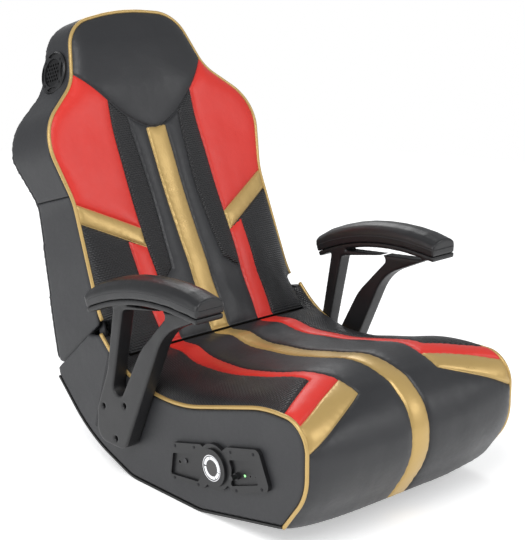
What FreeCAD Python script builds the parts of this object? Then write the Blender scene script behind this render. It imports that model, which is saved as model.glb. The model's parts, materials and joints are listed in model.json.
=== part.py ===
# A floor rocker chair for gaming: a padded base that rocks on its curved bottom, a folding padded back,
# two bolted arms, a control panel in the base and a speaker pod on each side of the headrest.
# X runs across the chair, Y to the rear and Z up, in millimetres.
# The origin is the middle of the flat landing on which the chair rests.
import FreeCAD
import Part
import Sketcher
import math
import os
from FreeCAD import Placement, Rotation, Vector

os.makedirs("parts", exist_ok=True)
document = FreeCAD.newDocument("rocker_chair")

# Every driving size. Side view points are measured from the crease between seat and back,
# forward or behind it and above or below it.
SIZES = {
    # Place of the crease over the landing
    "crease_behind": 143.0,
    "crease_height": 217.0,
    # Widths across the chair
    "base_half_width": 250.0,
    "cover_thickness": 12.0,
    "board_thickness": 12.0,
    "soft_gap": 0.3,
    # Seat line along the side of the base
    "tip_behind": 42.0,
    "tip_rise": 34.4,
    "crease_bend_ahead": 18.0,
    "crease_bend_drop": 20.0,
    "crease_bend_radius": 200.0,
    "dip_ahead": 167.0,
    "dip_drop": 46.0,
    "dip_radius": 335.0,
    "crest_ahead": 405.0,
    "crest_rise": 21.0,
    "crest_radius": 255.0,
    "front_ahead": 507.0,
    "front_radius": 52.0,
    "chin_drop": 102.0,
    "chin_radius": 100.0,
    "toe_ahead": 452.0,
    "toe_drop": 175.0,
    "seat_crown": 45.0,
    "seat_cushion_depth": 50.0,
    "seat_edge_depth": 14.0,
    "shoulder_share": 0.53,
    # Rocker line along the bottom
    "landing_front_ahead": 241.0,
    "landing_rear_ahead": 48.0,
    "landing_radius": 110.0,
    "heel_bend_behind": 82.0,
    "heel_bend_drop": 173.0,
    "heel_bend_radius": 300.0,
    "heel_behind": 178.0,
    "heel_drop": 83.0,
    "heel_corner_radius": 6.0,
    "edge_strip_thickness": 4.0,
    "bottom_panel_thickness": 6.0,
    # Back, seen from the side
    "nose_behind": 58.0,
    "nose_rise": 43.0,
    "nose_radius": 12.0,
    "tail_behind": 201.0,
    "tail_drop": 84.0,
    "tail_radius": 22.0,
    "waist_behind": 266.0,
    "waist_rise": 236.0,
    "waist_radius": 60.0,
    "bump_behind": 314.0,
    "bump_rise": 312.0,
    "bump_radius": 45.0,
    "top_rear_behind": 362.0,
    "top_rear_rise": 550.0,
    "top_rear_radius": 25.0,
    "top_behind": 298.0,
    "top_rise": 582.0,
    "top_radius": 12.0,
    "chest_behind": 186.0,
    "chest_rise": 364.0,
    "chest_radius": 600.0,
    "split_gap": 4.0,
    "hinge_reach": 86.0,
    "hinge_run": 0.5,
    "nose_run": 13.2,
    "board_relief": 12.0,
    # Back, seen square to its sides
    "side_slant": 17.5,
    "hip_half_width": 236.0,
    "hip_up": 60.0,
    "waist_half_width": 229.0,
    "waist_up": 290.0,
    "waist_side_radius": 150.0,
    "shoulder_half_width": 260.0,
    "shoulder_up": 427.0,
    "shoulder_radius": 97.0,
    "neck_half_width": 162.0,
    "neck_up": 510.5,
    "neck_radius": 80.0,
    "head_half_width": 127.4,
    "head_up": 625.5,
    "head_radius": 72.0,
    "crown_up": 645.0,
    "crown_radius": 400.0,
    "side_seam_up": 302.0,
    # Back cushion and its hidden boards
    "back_cushion_depth": 30.0,
    "lumbar_crown": 30.0,
    "head_crown": 18.0,
    "knuckle_half_width": 215.7,
    "rear_cover_thickness": 6.0,
    "back_panel_thickness": 5.0,
    "deck_thickness": 10.0,
    "cushion_seat_gap": 1.0,
    "back_board_inner": 205.8,
    "head_frame_thickness": 10.0,
    "closing_board_thickness": 6.0,
    "closing_board_lift": 5.0,
    "shoulder_rail_up": 440.0,
    "shoulder_rail_height": 18.0,
    # Piping
    "piping_radius": 3.5,
    "piping_gap": 0.2,
    # Hinge
    "pin_radius": 4.0,
    "pin_clearance": 0.05,
    "leaf_thickness": 4.0,
    "leaf_gap": 0.2,
    "eye_radius": 10.0,
    "strap_width": 18.0,
    "base_strap_length": 78.0,
    "back_strap_length": 75.0,
    "pin_head_radius": 7.0,
    "pin_head_thickness": 2.5,
    # Arms
    "arm_gap": 0.3,
    "arm_plate_thickness": 29.5,
    "arm_outer": 310.0,
    "tray_thickness": 10.0,
    "pad_seat_gap": 0.3,
    "pad_side_height": 17.0,
    "pad_crown_height": 37.0,
    "arm_screw_radius": 2.5,
    "arm_screw_head_radius": 4.6,
    "counterbore_radius": 5.0,
    "counterbore_depth": 20.0,
    # Control panel
    "panel_proud": 8.0,
    "panel_floor": 3.0,
    "disc_ahead": 290.5,
    "disc_drop": 116.5,
    "disc_radius": 41.0,
    "disc_rise": 5.0,
    "ring_radius": 23.2,
    "ring_thickness": 1.6,
    "amplifier_depth": 52.0,
    "amplifier_inset": 7.0,
    "knob_radius": 6.0,
    "knob_tip_radius": 4.4,
    "knob_length": 16.0,
    "knob_shaft_radius": 3.0,
    "knob_clearance": 0.1,
    "button_radius": 4.5,
    "button_clearance": 0.1,
    "button_length": 6.0,
    "button_travel": 1.5,
    "power_inlet_radius": 2.75,
    "audio_inlet_radius": 1.75,
    "socket_wall": 2.0,
    "socket_depth": 12.0,
    "lens_radius": 2.2,
    "small_screw_radius": 2.6,
    # Speaker pods
    "speaker_across": 142.0,
    "speaker_up": 538.5,
    "speaker_radius": 41.0,
    "speaker_proud": 6.0,
    "speaker_recess": 3.5,
    "speaker_chamfer": 2.5,
    "speaker_screw_across": 25.0,
    "speaker_screw_up": 22.0,
    "grille_radius": 27.0,
    "grille_thickness": 1.6,
    "grille_hole_radius": 2.8,
    "grille_pitch": 8.4,
    "driver_radius": 25.0,
    "driver_depth": 24.0,
}

sheet = document.addObject("Spreadsheet::Sheet", "sizes")
for row, (alias, value) in enumerate(SIZES.items(), start=1):
    sheet.set("A%d" % row, alias.replace("_", " "))
    sheet.set("B%d" % row, str(value))
    sheet.setAlias("B%d" % row, alias)
document.recompute()


def size(alias):
    """One driving size, read back from the sheet."""
    return float(sheet.get(alias))


BOARD_INNER_RULE = "sizes.base_half_width - sizes.cover_thickness - sizes.board_thickness"
CREASE = Vector(0, size("crease_behind"), size("crease_height"))
ACROSS = Vector(1, 0, 0)
SIDE_VIEW = Placement(CREASE, Rotation(Vector(0, 1, 0), Vector(0, 0, 1), Vector(1, 0, 0), "ZXY"))
SLANT = math.radians(size("side_slant"))
FRONT_VIEW = Placement(CREASE, Rotation(ACROSS, 90 - size("side_slant")))
WORLD_SIZE = 2000.0
CUSHION_SECTIONS = 18
PIPING_DEVIATION = 0.12
CUP_LIP_ANGLE = 262
ARM_SCREWS = [(-6, -82), (-68, -65), (-41, -135)]
SEAT_CROWN = [
    (0.0, 0.02), (0.074, 0.08), (0.15, 0.76), (0.2, 0.82), (0.31, 0.97), (0.41, 0.87), (0.5, 0.76),
    (0.58, 0.67), (0.63, 0.52), (0.68, 0.29), (0.725, 0.1), (0.77, 0.2), (0.81, 0.37), (0.84, 0.4),
    (1.0, 0.4),
]
BASE_STRAP_ANGLE = 250
BACK_STRAP_ANGLE = 15
LUMBAR_CROWN = [
    (0.0, 0.13), (0.07, 0.73), (0.19, 0.86), (0.3, 0.58), (0.41, 0.3), (0.53, 0.14), (0.64, 0.05),
    (1.0, 0.0),
]
HEAD_CROWN = [(0.0, 0.0), (0.58, 0.0), (0.78, 0.95), (0.88, 0.9), (1.0, 0.0)]
PAD_FULLNESS = [(0.0, 0.7), (0.15, 0.95), (0.4, 1.0), (0.85, 0.97), (1.0, 0.7)]
PAD_SECTIONS = 9
REAR_WING = [
    (-177, -106, 8), (-168, -173, 8), (-262, -165, 10), (-290, -135, 4), (-290, -100, 4),
    (-254, -86, 8),
]
FRONT_WING = [
    (-323, -70, 8), (-300, -90, 4), (-300, -125, 4), (-344, -147, 8), (-432, -115, 12),
    (-402, -50, 12),
]
REAR_RECESS = [
    (-179, -125, 3), (-173, -166, 3), (-247, -157, 3), (-255, -146, 3), (-255, -114, 3),
    (-243, -108, 3),
]
FRONT_RECESS = [(-329, -91, 3), (-336, -104, 6), (-335, -136, 3), (-404, -112, 3), (-381, -76, 3)]
PANEL_SCREWS = [
    (-185, -110), (-237, -97), (-183, -170), (-248, -162), (-333, -76), (-390, -62), (-348, -140),
    (-412, -117),
]
KNOB_PLACE = (-347, -115)
LENS_PLACE = (-365, -109)
AUDIO_PLACES = [(-378, -106), (-391, -103)]
INLET_PLACE = (-192, -139)
BUTTON_PLACE = (-209, -132)
KNOB_FLUTES = 10
made = []


# Outlines. A corner is (along, up, radius) in the plane of its view, and an inset moves a line to
# the left of its travel, which is inward on an outline that runs anticlockwise.

def unit(way):
    return Vector(way).normalize()


def left_of(way):
    return Vector(-way.y, way.x, 0)


def rounded(before, corner, after, radius, inset):
    """Start, middle and end of the arc in a corner, or its one mitred point."""
    into = unit(corner - before)
    out = unit(after - corner)
    turn = math.atan2(into.x * out.y - into.y * out.x, into.dot(out))
    side = 1 if turn > 0 else -1
    swing = radius - side * inset
    if radius == 0 or swing <= 0 or abs(turn) < 1e-5:
        return [corner + (left_of(into) + left_of(out)) * (inset / (1 + into.dot(out)))]
    reach = radius * math.tan(abs(turn) / 2)
    start = corner - into * reach
    centre = start + left_of(into) * (radius * side)
    middle = centre + unit(corner - centre) * swing
    return [start + left_of(into) * inset, middle, corner + out * reach + left_of(out) * inset]


def trace(corners, inset=0.0, closed=False):
    """Lines and tangent arcs through the corners, as flat geometry."""
    points = [Vector(along, up, 0) for along, up, radius in corners]
    count = len(points)
    stops = []
    for i, (along, up, radius) in enumerate(corners):
        if closed or 0 < i < count - 1:
            stops.append(rounded(points[i - 1], points[i], points[(i + 1) % count], radius, inset))
        else:
            near = points[1] - points[0] if i == 0 else points[-1] - points[-2]
            stops.append([points[i] + left_of(unit(near)) * inset])
    geometry = []
    for i, stop in enumerate(stops):
        if len(stop) == 3:
            geometry.append(Part.Arc(*stop))
        if closed or i < count - 1:
            following = stops[(i + 1) % count][0]
            if (following - stop[-1]).Length > 1e-6:
                geometry.append(Part.LineSegment(stop[-1], following))
    return geometry


def end_points(geometry):
    """First and last point of a chain of geometry."""
    return geometry[0].value(geometry[0].FirstParameter), geometry[-1].value(geometry[-1].LastParameter)


def backwards(geometry):
    """The same chain run the other way."""
    turned = []
    for piece in reversed(geometry):
        first = piece.value(piece.FirstParameter)
        last = piece.value(piece.LastParameter)
        if isinstance(piece, Part.LineSegment):
            turned.append(Part.LineSegment(last, first))
        else:
            middle = piece.value((piece.FirstParameter + piece.LastParameter) / 2)
            turned.append(Part.Arc(last, middle, first))
    return turned


def joined(*chains):
    """One closed outline from chains, with straight joins between them."""
    outline = []
    for i, chain in enumerate(chains):
        outline += chain
        last = end_points(chain)[1]
        following = end_points(chains[(i + 1) % len(chains)])[0]
        if (following - last).Length > 1e-6:
            outline.append(Part.LineSegment(last, following))
    return outline


def met(first, second):
    """Two chains whose straight ends are cut or lengthened to the point where they cross."""
    a, b = first[-1].StartPoint, first[-1].EndPoint
    c, d = second[0].StartPoint, second[0].EndPoint
    way, other = b - a, d - c
    share = ((c.x - a.x) * other.y - (c.y - a.y) * other.x) / (way.x * other.y - way.y * other.x)
    corner = a + way * share
    return first[:-1] + [Part.LineSegment(a, corner)] + [Part.LineSegment(corner, d)] + second[1:]


def band(corners, outer, inner):
    """Closed outline of the strip between two insets of one line."""
    return joined(trace(corners, outer), backwards(trace(corners, inner)))


def circle(along, up, radius):
    """A round hole or disc as flat geometry."""
    return [Part.Circle(Vector(along, up, 0), Vector(0, 0, 1), radius)]


def slab(outline, view, start, end):
    """A prism of a closed outline, square to its view, from start to end."""
    face = Part.Face(Part.Wire([piece.toShape() for piece in outline]))
    face.translate(Vector(0, 0, start))
    prism = face.extrude(Vector(0, 0, end - start))
    prism.Placement = view.multiply(prism.Placement)
    return prism


def side_slab(outline, start, end):
    """A prism of a side view outline, from one place across the chair to another."""
    return slab(outline, SIDE_VIEW, min(start, end), max(start, end))


def add_body(name, outline, start_rule, thickness_rule):
    """A flat piece padded from a side view outline, from the place and by the thickness its rules give."""
    body = document.addObject("PartDesign::Body", name)
    body.Label = name
    sketch = body.newObject("Sketcher::SketchObject", name + "_outline")
    plane = [part for part in body.Origin.OriginFeatures if part.Role == "YZ_Plane"][0]
    sketch.AttachmentSupport = [(plane, "")]
    sketch.MapMode = "FlatFace"
    sketch.setExpression("AttachmentOffset.Base.x", "sizes.crease_behind")
    sketch.setExpression("AttachmentOffset.Base.y", "sizes.crease_height")
    sketch.setExpression("AttachmentOffset.Base.z", start_rule)
    sketch.addGeometry(list(outline))
    pad = body.newObject("PartDesign::Pad", name + "_pad")
    pad.Profile = sketch
    pad.setExpression("Length", thickness_rule)
    made.append(name)
    return sketch


def bind_radius(sketch, rule):
    """Ties the radius of a sketched circle to the sizes."""
    number = sketch.addConstraint(Sketcher.Constraint("Radius", 0, sketch.Geometry[0].Radius))
    sketch.setExpression("Constraints[%d]" % number, rule)


def world_box(x_range, y_range, z_range):
    """A plain block between limits."""
    low = Vector(x_range[0], y_range[0], z_range[0])
    return Part.makeBox(x_range[1] - low.x, y_range[1] - low.y, z_range[1] - low.z, low)


def rod(base, way, radius, length):
    """A round bar from its base along its way."""
    return Part.makeCylinder(radius, length, base, way)


# Lines of the chair

def seat_corners():
    """Side of the seat, from the tip beside the hinge over the crest to the toe."""
    front = -size("front_ahead")
    return [
        (size("tip_behind"), size("tip_rise"), 0),
        (-size("crease_bend_ahead"), -size("crease_bend_drop"), size("crease_bend_radius")),
        (-size("dip_ahead"), -size("dip_drop"), size("dip_radius")),
        (-size("crest_ahead"), size("crest_rise"), size("crest_radius")),
        (front, size("crest_rise"), size("front_radius")),
        (front, -size("chin_drop"), size("chin_radius")),
        (-size("toe_ahead"), -size("toe_drop"), 0),
    ]


def rocker_corners():
    """Bottom of the base, from the toe along the landing to the heel."""
    landing = -size("crease_height")
    return [
        (-size("toe_ahead"), -size("toe_drop"), 0),
        (-size("landing_front_ahead"), landing, size("landing_radius")),
        (-size("landing_rear_ahead"), landing, size("landing_radius")),
        (size("heel_bend_behind"), -size("heel_bend_drop"), size("heel_bend_radius")),
        (size("heel_behind"), -size("heel_drop"), 0),
    ]


def back_corners():
    """Side of the back, from its top down the front, along the split and up the rear."""
    return [
        (size("top_behind"), size("top_rise"), size("top_radius")),
        (size("chest_behind"), size("chest_rise"), size("chest_radius")),
        (size("nose_behind"), size("nose_rise"), size("nose_radius")),
        (size("tail_behind"), -size("tail_drop"), size("tail_radius")),
        (size("waist_behind"), size("waist_rise"), size("waist_radius")),
        (size("bump_behind"), size("bump_rise"), size("bump_radius")),
        (size("top_rear_behind"), size("top_rear_rise"), size("top_rear_radius")),
    ]


def front_corners():
    """Back seen square to its sides: across the chair and up its slanted plane."""
    half = [
        ("hip_half_width", "hip_up", 0),
        ("waist_half_width", "waist_up", size("waist_side_radius")),
        ("shoulder_half_width", "shoulder_up", size("shoulder_radius")),
        ("neck_half_width", "neck_up", size("neck_radius")),
        ("head_half_width", "head_up", size("head_radius")),
    ]
    foot = -size("crease_height")
    rising = [(size(wide), size(up), radius) for wide, up, radius in half]
    falling = [(-wide, up, radius) for wide, up, radius in reversed(rising)]
    hip = size("hip_half_width")
    peak = [(0, size("crown_up"), size("crown_radius"))]
    return [(hip, foot, 0)] + rising + peak + falling + [(-hip, foot, 0)]


def hinge_axis():
    """Centre of the rounded nose of the back, where the back turns on the base."""
    corners = [Vector(along, up, 0) for along, up, radius in back_corners()[1:4]]
    into = unit(corners[1] - corners[0])
    out = unit(corners[2] - corners[1])
    turn = into.getAngle(out)
    reach = size("nose_radius") * math.tan(turn / 2)
    return corners[1] - into * reach + left_of(into) * size("nose_radius")


PIVOT = hinge_axis()
PIVOT_PLACE = SIDE_VIEW.multVec(PIVOT)


def split_line(drop):
    """The straight split between back and base, lowered square to itself."""
    nose = Vector(size("nose_behind"), size("nose_rise"), 0)
    tail = Vector(size("tail_behind"), -size("tail_drop"), 0)
    down = left_of(unit(tail - nose)) * -drop
    return nose + down, unit(tail - nose)


def hinge_round(radius):
    """A full width cylinder about the hinge."""
    return rod(PIVOT_PLACE - ACROSS * WORLD_SIZE / 2, ACROSS, radius, WORLD_SIZE)


def pipe_inset():
    """How far covers stop short of the middle of the piping."""
    return size("piping_radius") + size("piping_gap")


# Base

def base_outline(inset, bottom_inset, cup):
    """Side of the base with the hollow cup in which the nose of the back turns."""
    rocker = trace(rocker_corners(), bottom_inset)
    rim = met(trace(seat_corners(), inset), rocker)
    start, way = split_line(size("split_gap") - pipe_inset())
    heel = end_points(rocker)[1]
    across = (heel - start).dot(way)
    rear = start + way * (across - size("heel_corner_radius"))
    off = (start - PIVOT).dot(left_of(way))
    leave = PIVOT + left_of(way) * off + way * math.sqrt(cup ** 2 - off ** 2)
    last = math.atan2(leave.y - PIVOT.y, leave.x - PIVOT.x) + 2 * math.pi
    lip = math.radians(CUP_LIP_ANGLE)
    middle, enter = [PIVOT + Vector(math.cos(a), math.sin(a), 0) * cup for a in ((last + lip) / 2, lip)]
    return joined(rim, [Part.LineSegment(rear, leave)], [Part.Arc(leave, middle, enter)])


def cushion_envelope(depth):
    """Everything within a depth of the seat line, across the whole chair."""
    reach = WORLD_SIZE / 2
    return side_slab(band(seat_corners(), -reach / 10, depth), -reach, reach)


def panel_window(extra):
    """Outline of the opening for the amplifier, wider by some clearance."""
    inset = size("amplifier_inset") - extra
    return trace([
        (-179, -108, 8), (-253, -89, 8), (-323, -73, 8), (-398, -55, 8),
        (-424, -112, 8), (-346, -141, 8), (-290, -150, 8), (-257, -160, 8), (-172, -168, 8),
    ], inset, closed=True)


def arm_screw_holes(start, end, radius):
    """Three bars through the side of the base at the arm screws."""
    return [side_slab(circle(y, z, radius), start, end) for y, z in ARM_SCREWS]


def side_piece(outline, start, end, right):
    """A slab on one side of the base, drilled for the arm and opened for the panel."""
    sign = -1 if right else 1
    piece = side_slab(outline, sign * start, sign * end)
    piece = piece.cut(arm_screw_holes(sign * start, sign * end, size("arm_screw_radius") + 0.1))
    if right:
        piece = piece.cut(side_slab(panel_window(1.0), sign * start, sign * end))
    return piece


def nose_cup():
    """Radius of the cup that clears the nose of the back and its piping."""
    return size("nose_radius") - pipe_inset() + size("nose_run")


def make_base_sides():
    board_outer = size("base_half_width") - size("cover_thickness")
    board_inner = board_outer - size("board_thickness")
    outline = base_outline(pipe_inset(), size("edge_strip_thickness"), nose_cup())
    for side, right in (("right", True), ("left", False)):
        board = side_piece(outline, board_inner, board_outer, right)
        board = board.cut(cushion_envelope(size("seat_edge_depth")))
        board = board.cut(hinge_round(nose_cup() + size("board_relief")))
        add("base_side_board_" + side, board)
        add("base_side_cover_" + side, side_piece(outline, board_outer, size("base_half_width"), right))


def walk(geometry):
    """Lengths along a chain, to find the place and direction at a distance."""
    lengths = [piece.length() for piece in geometry]

    def at(share):
        left = share * sum(lengths)
        for piece, length in zip(geometry, lengths):
            if left <= length + 1e-6:
                parameter = piece.parameterAtDistance(min(left, length), piece.FirstParameter)
                return piece.value(parameter), unit(Vector(*piece.tangent(parameter)[0]))
            left -= length
        last = geometry[-1]
        return last.value(last.LastParameter), unit(Vector(*last.tangent(last.LastParameter)[0]))
    return at


def crowned_section(place, way, half_width, depth, crown, spread=0.0):
    """A flat bottomed section, flat over its middle and rounded down to its sides."""
    out = left_of(way) * -1
    run = half_width * size("shoulder_share")
    rise = max(crown + pipe_inset(), 0.5)
    bend = (run ** 2 + rise ** 2) / (2 * rise)
    wide = half_width + spread
    flat = half_width - run

    def at(across, up):
        spot = place + out * up
        return SIDE_VIEW.multVec(Vector(spot.x, spot.y, across))

    def rounded_at(share):
        along = (run + spread) * share
        return flat + along, crown - bend + math.sqrt(bend ** 2 - along ** 2)
    middle, edge = rounded_at(0.5), rounded_at(1.0)
    wire = [
        Part.LineSegment(at(-wide, -depth), at(wide, -depth)).toShape(),
        Part.LineSegment(at(wide, -depth), at(*edge)).toShape(),
        Part.Arc(at(*edge), at(*middle), at(flat, crown)).toShape(),
        Part.LineSegment(at(flat, crown), at(-flat, crown)).toShape(),
        Part.Arc(at(-flat, crown), at(-middle[0], middle[1]), at(-wide, edge[1])).toShape(),
        Part.LineSegment(at(-wide, edge[1]), at(-wide, -depth)).toShape(),
    ]
    return Part.Wire(wire)


def swell(share, stations):
    """Crown at a share of the way along a cushion, eased between its stations."""
    for near, far in zip(stations, stations[1:]):
        if near[0] <= share <= far[0]:
            blend = (share - near[0]) / (far[0] - near[0])
            blend = blend * blend * (3 - 2 * blend)
            return near[1] + (far[1] - near[1]) * blend
    return stations[-1][1]


# Share of the way along the seat, and share of the full crown there


def make_seat_cushion():
    half = size("base_half_width") - size("cover_thickness") - size("soft_gap")
    at = walk(trace(seat_corners()))
    depth = size("seat_cushion_depth")
    sections = []
    for i in range(CUSHION_SECTIONS + 1):
        place, way = at(i / CUSHION_SECTIONS)
        crown = swell(i / CUSHION_SECTIONS, SEAT_CROWN) * size("seat_crown")
        sections.append(crowned_section(place, way, half, depth, crown))
    cushion = Part.makeLoft(sections, True, True)
    cushion = cushion.cut(hinge_round(size("hinge_reach") + size("hinge_run")))
    sole = size("bottom_panel_thickness") + size("soft_gap")
    cushion = cushion.cut(side_slab(band(rocker_corners(), -100, sole), -WORLD_SIZE, WORLD_SIZE))
    board_outer = size("base_half_width") - size("cover_thickness")
    board_inner = board_outer - size("board_thickness")
    outline = base_outline(pipe_inset(), size("edge_strip_thickness"), nose_cup())
    for sign in (-1, 1):
        board = side_slab(outline, sign * board_inner, sign * board_outer)
        cushion = cushion.cut(board.cut(cushion_envelope(size("seat_edge_depth"))))
    add("seat_cushion", cushion.cut(above_crease()))


def above_crease():
    """The space up the back from the crease, which the seat cushion leaves to the back."""
    foot, way = walk(trace(back_line()))(0)
    foot = foot - way * size("soft_gap")
    out = left_of(way)
    corners = [foot - out * 300, foot + out * 90, foot + out * 90 + way * 300, foot - out * 300 + way * 300]
    outline = [Part.LineSegment(a, b) for a, b in zip(corners, corners[1:] + corners[:1])]
    return side_slab(outline, -WORLD_SIZE, WORLD_SIZE)


def make_base_boards():
    """Deck, front board, rails and closing boards between the side boards."""
    inner = size("base_half_width") - size("cover_thickness") - size("board_thickness")
    depth = size("seat_cushion_depth") + size("cushion_seat_gap")
    corners = seat_corners()
    crest = ((-size("crest_ahead") - size("front_ahead")) / 2, size("crest_rise"), 0)
    deck = side_slab(band(corners[:4] + [crest], depth, depth + size("deck_thickness")), -inner, inner)
    add("seat_deck", deck.cut(hinge_round(size("hinge_reach") + 3)))
    shin = (corners[4][0], size("crest_rise") - depth - size("deck_thickness"), 0)
    bib = side_slab(band([shin, corners[5], corners[6]], depth + 1, depth + size("deck_thickness")),
                    -inner, inner)
    sole = size("bottom_panel_thickness")
    floor_cut = side_slab(band(rocker_corners(), -100, sole), -WORLD_SIZE, WORLD_SIZE)
    add("front_board", bib.cut(floor_cut))
    add_body("bottom_panel", band(rocker_corners(), 0, sole), "-(%s)" % BOARD_INNER_RULE,
             "2 * (%s)" % BOARD_INNER_RULE)
    rails = {
        "front_rail": (-size("front_ahead") + depth + size("deck_thickness"), shin[1] - 28, 22, 27),
        "rear_rail": (size("heel_bend_behind") - 16, -size("heel_bend_drop") + 28, 22, 50),
    }
    for name, (y, z, thick, tall) in rails.items():
        behind, above = CREASE.y + y, CREASE.z + z
        rail = world_box((-inner, inner), (behind, behind + thick), (above, above + tall))
        add(name, rail.cut(floor_cut))
    start, way = split_line(size("split_gap") + 2)
    from_hinge = hinge_round(size("hinge_reach") + 3)
    plate = [Vector(start + way * 60), Vector(start + way * 175)]
    lid = side_slab(band([(p.x, p.y, 0) for p in plate], 0, -size("closing_board_thickness")), -inner, inner)
    add("base_closing_board", lid.cut(from_hinge).cut(floor_cut))


def make_edge_strips():
    """Black strips under the side boards, on which the chair rocks."""
    for side, sign in (("right", -1), ("left", 1)):
        start_rule = BOARD_INNER_RULE if sign > 0 else "-sizes.base_half_width - 1"
        add_body("rocker_edge_" + side, band(rocker_corners(), 0, size("edge_strip_thickness")), start_rule,
                 "sizes.cover_thickness + sizes.board_thickness + 1")


def eight_sided(centre, way, side, radius):
    """An eight sided ring square to its way."""
    over = unit(way.cross(side))
    across = unit(over.cross(way))
    reach = radius / math.cos(math.pi / 8)
    ring = []
    for turn in range(8):
        angle = math.pi * (2 * turn + 1) / 8
        ring.append(centre + across * (reach * math.cos(angle)) + over * (reach * math.sin(angle)))
    return Part.Wire(Part.makePolygon(ring + ring[:1]))


def piping(route, side):
    """A sewn cord: straight runs along a route, mitred where they meet."""
    rings = []
    for i, place in enumerate(route):
        before = route[max(i - 1, 0)]
        after = route[min(i + 1, len(route) - 1)]
        rings.append(eight_sided(place, unit(after - before), side, size("piping_radius")))
    return Part.makeLoft(rings, True, True)


def make_base_piping():
    """Piping along each side of the seat, on the side line."""
    across = size("base_half_width") - size("piping_radius") - 0.1
    wire = Part.Wire([piece.toShape() for piece in trace(seat_corners())])
    line = wire.discretize(Deflection=PIPING_DEVIATION)
    for side, sign in (("right", -1), ("left", 1)):
        route = [SIDE_VIEW.multVec(Vector(p.x, p.y, sign * across)) for p in line]
        strip = side_slab(band(rocker_corners(), -20, size("edge_strip_thickness")), -WORLD_SIZE, WORLD_SIZE)
        add("base_piping_" + side, piping(route, ACROSS).cut(strip))


# Hinge

def leaf(angle, length, bore):
    """A flat strap with a round eye at the hinge, seen from the side."""
    way = Vector(math.cos(math.radians(angle)), math.sin(math.radians(angle)), 0)
    side = left_of(way) * (size("strap_width") / 2)
    reach = math.sqrt(size("eye_radius") ** 2 - side.Length ** 2)
    first = PIVOT + way * reach + side
    second = PIVOT + way * reach - side
    tip = PIVOT + way * (length + side.Length)
    outline = [
        Part.Arc(first, PIVOT - way * size("eye_radius"), second),
        Part.LineSegment(second, tip - side),
        Part.LineSegment(tip - side, tip + side),
        Part.LineSegment(tip + side, first),
    ]
    return outline, circle(PIVOT.x, PIVOT.y, bore)


def strap(name, sign, angle, length, bore, inner_rule):
    """A hinge leaf, padded from its outline with the hole for the pin."""
    outline, hole = leaf(angle, length, bore)
    if sign > 0:
        start_rule = inner_rule
    else:
        start_rule = "-(%s) - sizes.leaf_thickness" % inner_rule
    add_body(name, outline + hole, start_rule, "sizes.leaf_thickness")


def make_hinges():
    board_inner = size("base_half_width") - size("cover_thickness") - size("board_thickness")
    base_leaf_inner = board_inner - size("leaf_thickness")
    back_leaf_outer = base_leaf_inner - size("leaf_gap")
    back_leaf_inner = back_leaf_outer - size("leaf_thickness")
    bore = size("pin_radius") + size("pin_clearance")
    base_rule = BOARD_INNER_RULE + " - sizes.leaf_thickness"
    back_rule = base_rule + " - sizes.leaf_gap - sizes.leaf_thickness"
    for side, sign in (("right", -1), ("left", 1)):
        strap("base_hinge_leaf_" + side, sign, BASE_STRAP_ANGLE, size("base_strap_length"),
              size("pin_radius"), base_rule)
        strap("back_hinge_leaf_" + side, sign, BACK_STRAP_ANGLE, size("back_strap_length"), bore, back_rule)
        outward = ACROSS * sign
        head_start = back_leaf_inner - size("pin_head_thickness") - size("leaf_gap")
        place = Vector(0, PIVOT_PLACE.y, PIVOT_PLACE.z)
        shaft = rod(place + outward * head_start, outward, size("pin_radius"), board_inner + 2 - head_start)
        head = six_sided_bar(place + outward * head_start, outward, Vector(0, 1, 0), size("pin_head_radius"),
                             size("pin_head_thickness"))
        add("hinge_pin_" + side, shaft.fuse(head).removeSplitter())


# Back

def front_slab(inset):
    """The back's front outline, run through the chair square to its slanted plane."""
    return slab(trace(front_corners(), inset, closed=True), FRONT_VIEW, -WORLD_SIZE / 2, WORLD_SIZE / 2)


def back_block(inset, side_inset):
    """The back as one block: its side outline met by its front outline."""
    reach = WORLD_SIZE / 2
    return side_slab(trace(back_corners(), inset, closed=True), -reach, reach).common(front_slab(side_inset))


def half_width_at(place):
    """Half width of the back at a side view place."""
    up = place.x * math.sin(SLANT) + place.y * math.cos(SLANT)
    up = min(up, size("head_up") - 40)
    face = Part.Face(Part.Wire([piece.toShape() for piece in trace(front_corners(), 0, closed=True)]))
    cut = Part.LineSegment(Vector(0, up, 0), Vector(WORLD_SIZE, up, 0)).toShape().common(face)
    return cut.Length


def back_line():
    """Middle of the piping up the side of the back, from the crease to the top."""
    corners = back_corners()
    nose = hinge_start()
    return [(-1, -1, 0), (nose.x, nose.y, 150), corners[1], corners[0][:2] + (0,)]


def hinge_start():
    """Where the straight front of the back meets its rounded nose."""
    corners = [Vector(along, up, 0) for along, up, radius in back_corners()[1:3]]
    into = unit(corners[1] - corners[0])
    return PIVOT - left_of(into) * size("nose_radius")


# Share of the way up the back line, and share of the lumbar or headrest crown there


def back_cushion_loft():
    corners = back_line()
    at = walk(trace(corners))
    depth = size("back_cushion_depth")
    sections = []
    for i in range(CUSHION_SECTIONS + 1):
        share = i / CUSHION_SECTIONS
        place, way = at(share)
        lumbar = swell(share, LUMBAR_CROWN) * size("lumbar_crown")
        crown = lumbar + swell(share, HEAD_CROWN) * size("head_crown")
        wide = half_width_at(place) - size("cover_thickness")
        sections.append(crowned_section(place, way * -1, wide, depth, crown, 5))
    return Part.makeLoft(sections, True, True)


def below_hinge():
    """The space in front of and below the hinge, where the back cushion keeps within its round."""
    low = math.radians(195)
    ahead = PIVOT + Vector(math.cos(low), math.sin(low), 0) * 400
    corners = [PIVOT, ahead, Vector(ahead.x, -400, 0), Vector(400, -400, 0), Vector(400, PIVOT.y - 290, 0)]
    outline = [Part.LineSegment(a, b) for a, b in zip(corners, corners[1:] + corners[:1])]
    return side_slab(outline, -WORLD_SIZE, WORLD_SIZE)


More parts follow.
